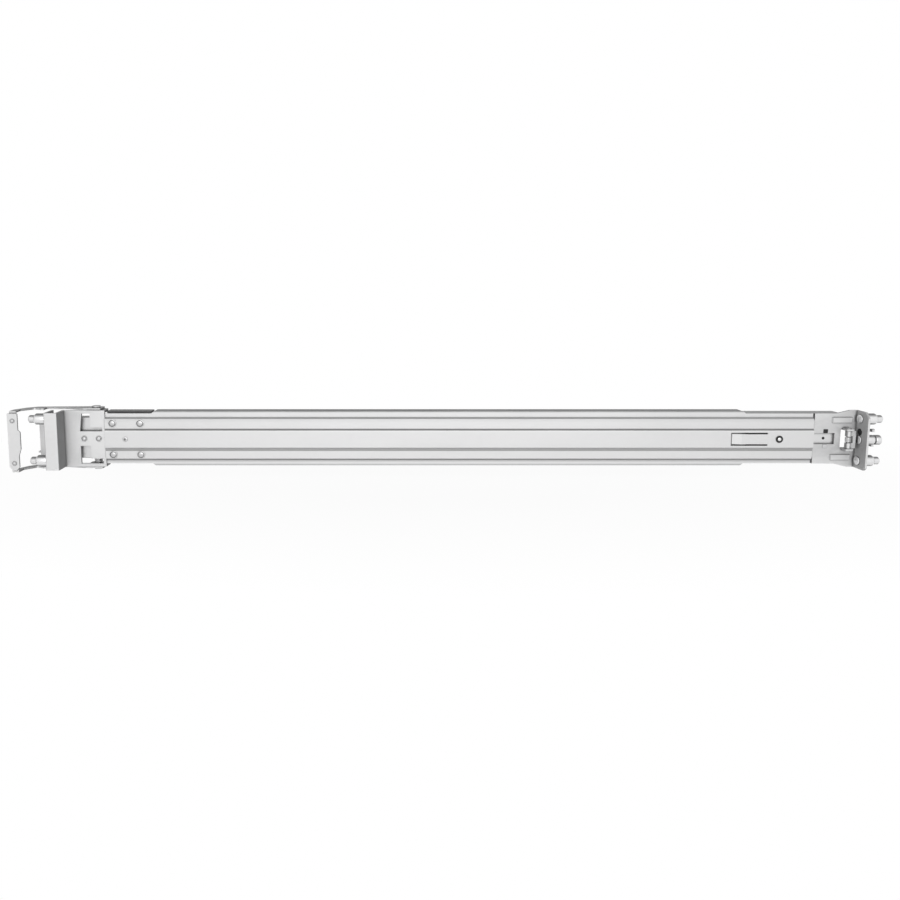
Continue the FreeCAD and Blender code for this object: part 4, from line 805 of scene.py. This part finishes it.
FLOOR_X, FLOOR_Y = (-4.0, 4.6), (-3.0, 5.0)      # edges of the floor
POOL_X, POOL_HALF = 0.3, (0.5, 0.22)             # oval of floor that keeps the rail's shadow
POOL_FADE = (0.3, 1.0)                           # shares of it where the shadow fades out
FLOOR_GLOW = 0.95                                # share of plain white where it doesn't
ROOM_LIGHT = 0.15
LAMPS = (   # name, place, width, height, share of the lamp power
    ("over_lamp", (0.3, -0.9, 0.75), 1.5, 0.5, 0.8),
    ("front_lamp", (0.3, -1.3, 0.22), 1.5, 0.35, 1.6))
LAMP_AIM = (0.3, 0, 0)
CAMERA_PLACE = (0.247, -0.55, 0.1156)
CAMERA_TILT = 7.0                                # degrees below level
CAMERA_LENS, CAMERA_SENSOR = 29.81, 36.0         # mm
CAMERA_SHIFT = (0.08, -0.0819)


def showing_ray(tree):
    """1 where the camera sees a thing, directly, in metal or through glass; 0 for its light."""
    path = tree.nodes.new("ShaderNodeLightPath")
    return math_node(tree, "MAXIMUM", path.outputs["Is Camera Ray"],
                     math_node(tree, "MAXIMUM", path.outputs["Is Glossy Ray"],
                               path.outputs["Is Transmission Ray"]))


def pale_floor():
    """Matt white floor that shows as plain white, apart from a shadow in the oval round the
    rail, which fades out with the distance from the oval's middle."""
    material = bpy.data.materials.new("pale_floor")
    material.use_nodes = True
    tree = material.node_tree
    shader = tree.nodes["Principled BSDF"]
    shader.inputs["Base Color"].default_value = grey(0.95)
    shader.inputs["Roughness"].default_value = 0.95
    shader.inputs["Specular IOR Level"].default_value = 0.1
    white = tree.nodes.new("ShaderNodeEmission")
    place = tree.nodes.new("ShaderNodeMapping")
    place.inputs["Location"].default_value = (-POOL_X / POOL_HALF[0], 0, 0)
    place.inputs["Scale"].default_value = (1 / POOL_HALF[0], 1 / POOL_HALF[1], 1)
    spread = tree.nodes.new("ShaderNodeVectorMath")
    spread.operation = "LENGTH"
    share = map_range(tree, *POOL_FADE)
    share.inputs["To Min"].default_value = FLOOR_GLOW
    mix = tree.nodes.new("ShaderNodeMixShader")
    wire(tree, (tree.nodes.new("ShaderNodeTexCoord").outputs["Object"], place.inputs["Vector"]),
         (place.outputs[0], spread.inputs[0]),
         (spread.outputs["Value"], share.inputs["Value"]),
         (math_node(tree, "MULTIPLY", showing_ray(tree), share.outputs[0]), mix.inputs["Fac"]),
         (shader.outputs[0], mix.inputs[1]), (white.outputs[0], mix.inputs[2]),
         (mix.outputs[0], tree.nodes["Material Output"].inputs["Surface"]))
    return material


def pale_room():
    """World that lights the rail faintly and shows as plain white."""
    world = bpy.data.worlds.new("pale_room")
    world.use_nodes = True
    tree = world.node_tree
    tree.nodes.clear()
    out = tree.nodes.new("ShaderNodeOutputWorld")
    mix = tree.nodes.new("ShaderNodeMixShader")
    light = tree.nodes.new("ShaderNodeBackground")
    light.inputs["Strength"].default_value = ROOM_LIGHT
    seen = tree.nodes.new("ShaderNodeBackground")
    seen.inputs["Color"].default_value = grey(1)
    wire(tree, (showing_ray(tree), mix.inputs["Fac"]), (light.outputs[0], mix.inputs[1]),
         (seen.outputs[0], mix.inputs[2]), (mix.outputs[0], out.inputs["Surface"]))
    return world


def soft_lamp(name, place, width, height, power):
    """Rectangular lamp at a place, turned to the lamps' common aim."""
    data = bpy.data.lights.new(name, "AREA")
    data.shape = "RECTANGLE"
    data.size, data.size_y, data.energy = width, height, power
    lamp = bpy.data.objects.new(name, data)
    lamp.location = place
    lamp.rotation_euler = (Vector(LAMP_AIM) - Vector(place)).to_track_quat("-Z", "Y").to_euler()
    return lamp


def studio_camera():
    """Camera in front of the rail, tilted down and shifted to frame it."""
    data = bpy.data.cameras.new("studio_camera")
    data.sensor_width = CAMERA_SENSOR
    data.lens = CAMERA_LENS
    data.shift_x, data.shift_y = CAMERA_SHIFT
    data.clip_start = 0.01
    camera = bpy.data.objects.new("studio_camera", data)
    camera.location = CAMERA_PLACE
    camera.rotation_euler = (math.radians(90 - CAMERA_TILT), 0, 0)
    return camera


class RAIL_OT_stage(bpy.types.Operator):
    """Puts the pale floor, the soft lamps and the camera round the rail"""
    bl_idname = "rail.stage"
    bl_label = "Stage"

    def execute(self, context):
        scene = context.scene
        want = scene.rail_stage
        x, y = np.meshgrid(FLOOR_X, FLOOR_Y, indexing="ij")
        points = np.stack([x, y, np.full_like(x, -want.floor_drop)], axis=-1)
        mesh = grid_mesh("studio_floor", points, smooth=False)
        mesh.materials.append(pale_floor())
        floor = bpy.data.objects.new("studio_floor", mesh)
        scene.collection.objects.link(floor)
        scene.world = pale_room()
        for name, place, width, height, share in LAMPS:
            scene.collection.objects.link(
                soft_lamp(name, place, width, height, share * want.lamp_power))
        camera = studio_camera()
        scene.collection.objects.link(camera)
        scene.camera = camera
        scene.view_settings.view_transform = "Standard"
        return {"FINISHED"}


class RAIL_PT_panel(bpy.types.Panel):
    """Sidebar list of the rail's finishes, pieces and stage"""
    bl_idname = "RAIL_PT_panel"
    bl_label = "Sliding server rail"
    bl_space_type = "VIEW_3D"
    bl_region_type = "UI"
    bl_category = "Rail"

    def draw(self, context):
        for group in (context.scene.rail_finish, context.scene.rail_stage):
            for key in group.__annotations__:
                self.layout.prop(group, key)
        for step in STEPS:
            self.layout.operator(step.bl_idname)


STEPS = (RAIL_OT_finishes, RAIL_OT_mount_pins, RAIL_OT_rivets, RAIL_OT_springs,
         RAIL_OT_ball_cages, RAIL_OT_liners, RAIL_OT_stage)
SETTINGS = (("rail_finish", RailFinishSettings), ("rail_stage", RailStageSettings))


def register():
    for name, group in SETTINGS:
        bpy.utils.register_class(group)
        setattr(bpy.types.Scene, name, bpy.props.PointerProperty(type=group))
    for item in STEPS + (RAIL_PT_panel,):
        bpy.utils.register_class(item)


def unregister():
    for item in (RAIL_PT_panel,) + STEPS[::-1]:
        bpy.utils.unregister_class(item)
    for name, group in SETTINGS[::-1]:
        delattr(bpy.types.Scene, name)
        bpy.utils.unregister_class(group)


def main():
    register()
    for step in STEPS:
        family, name = step.bl_idname.split(".")
        getattr(getattr(bpy.ops, family), name)()


if __name__ == "__main__":
    main()
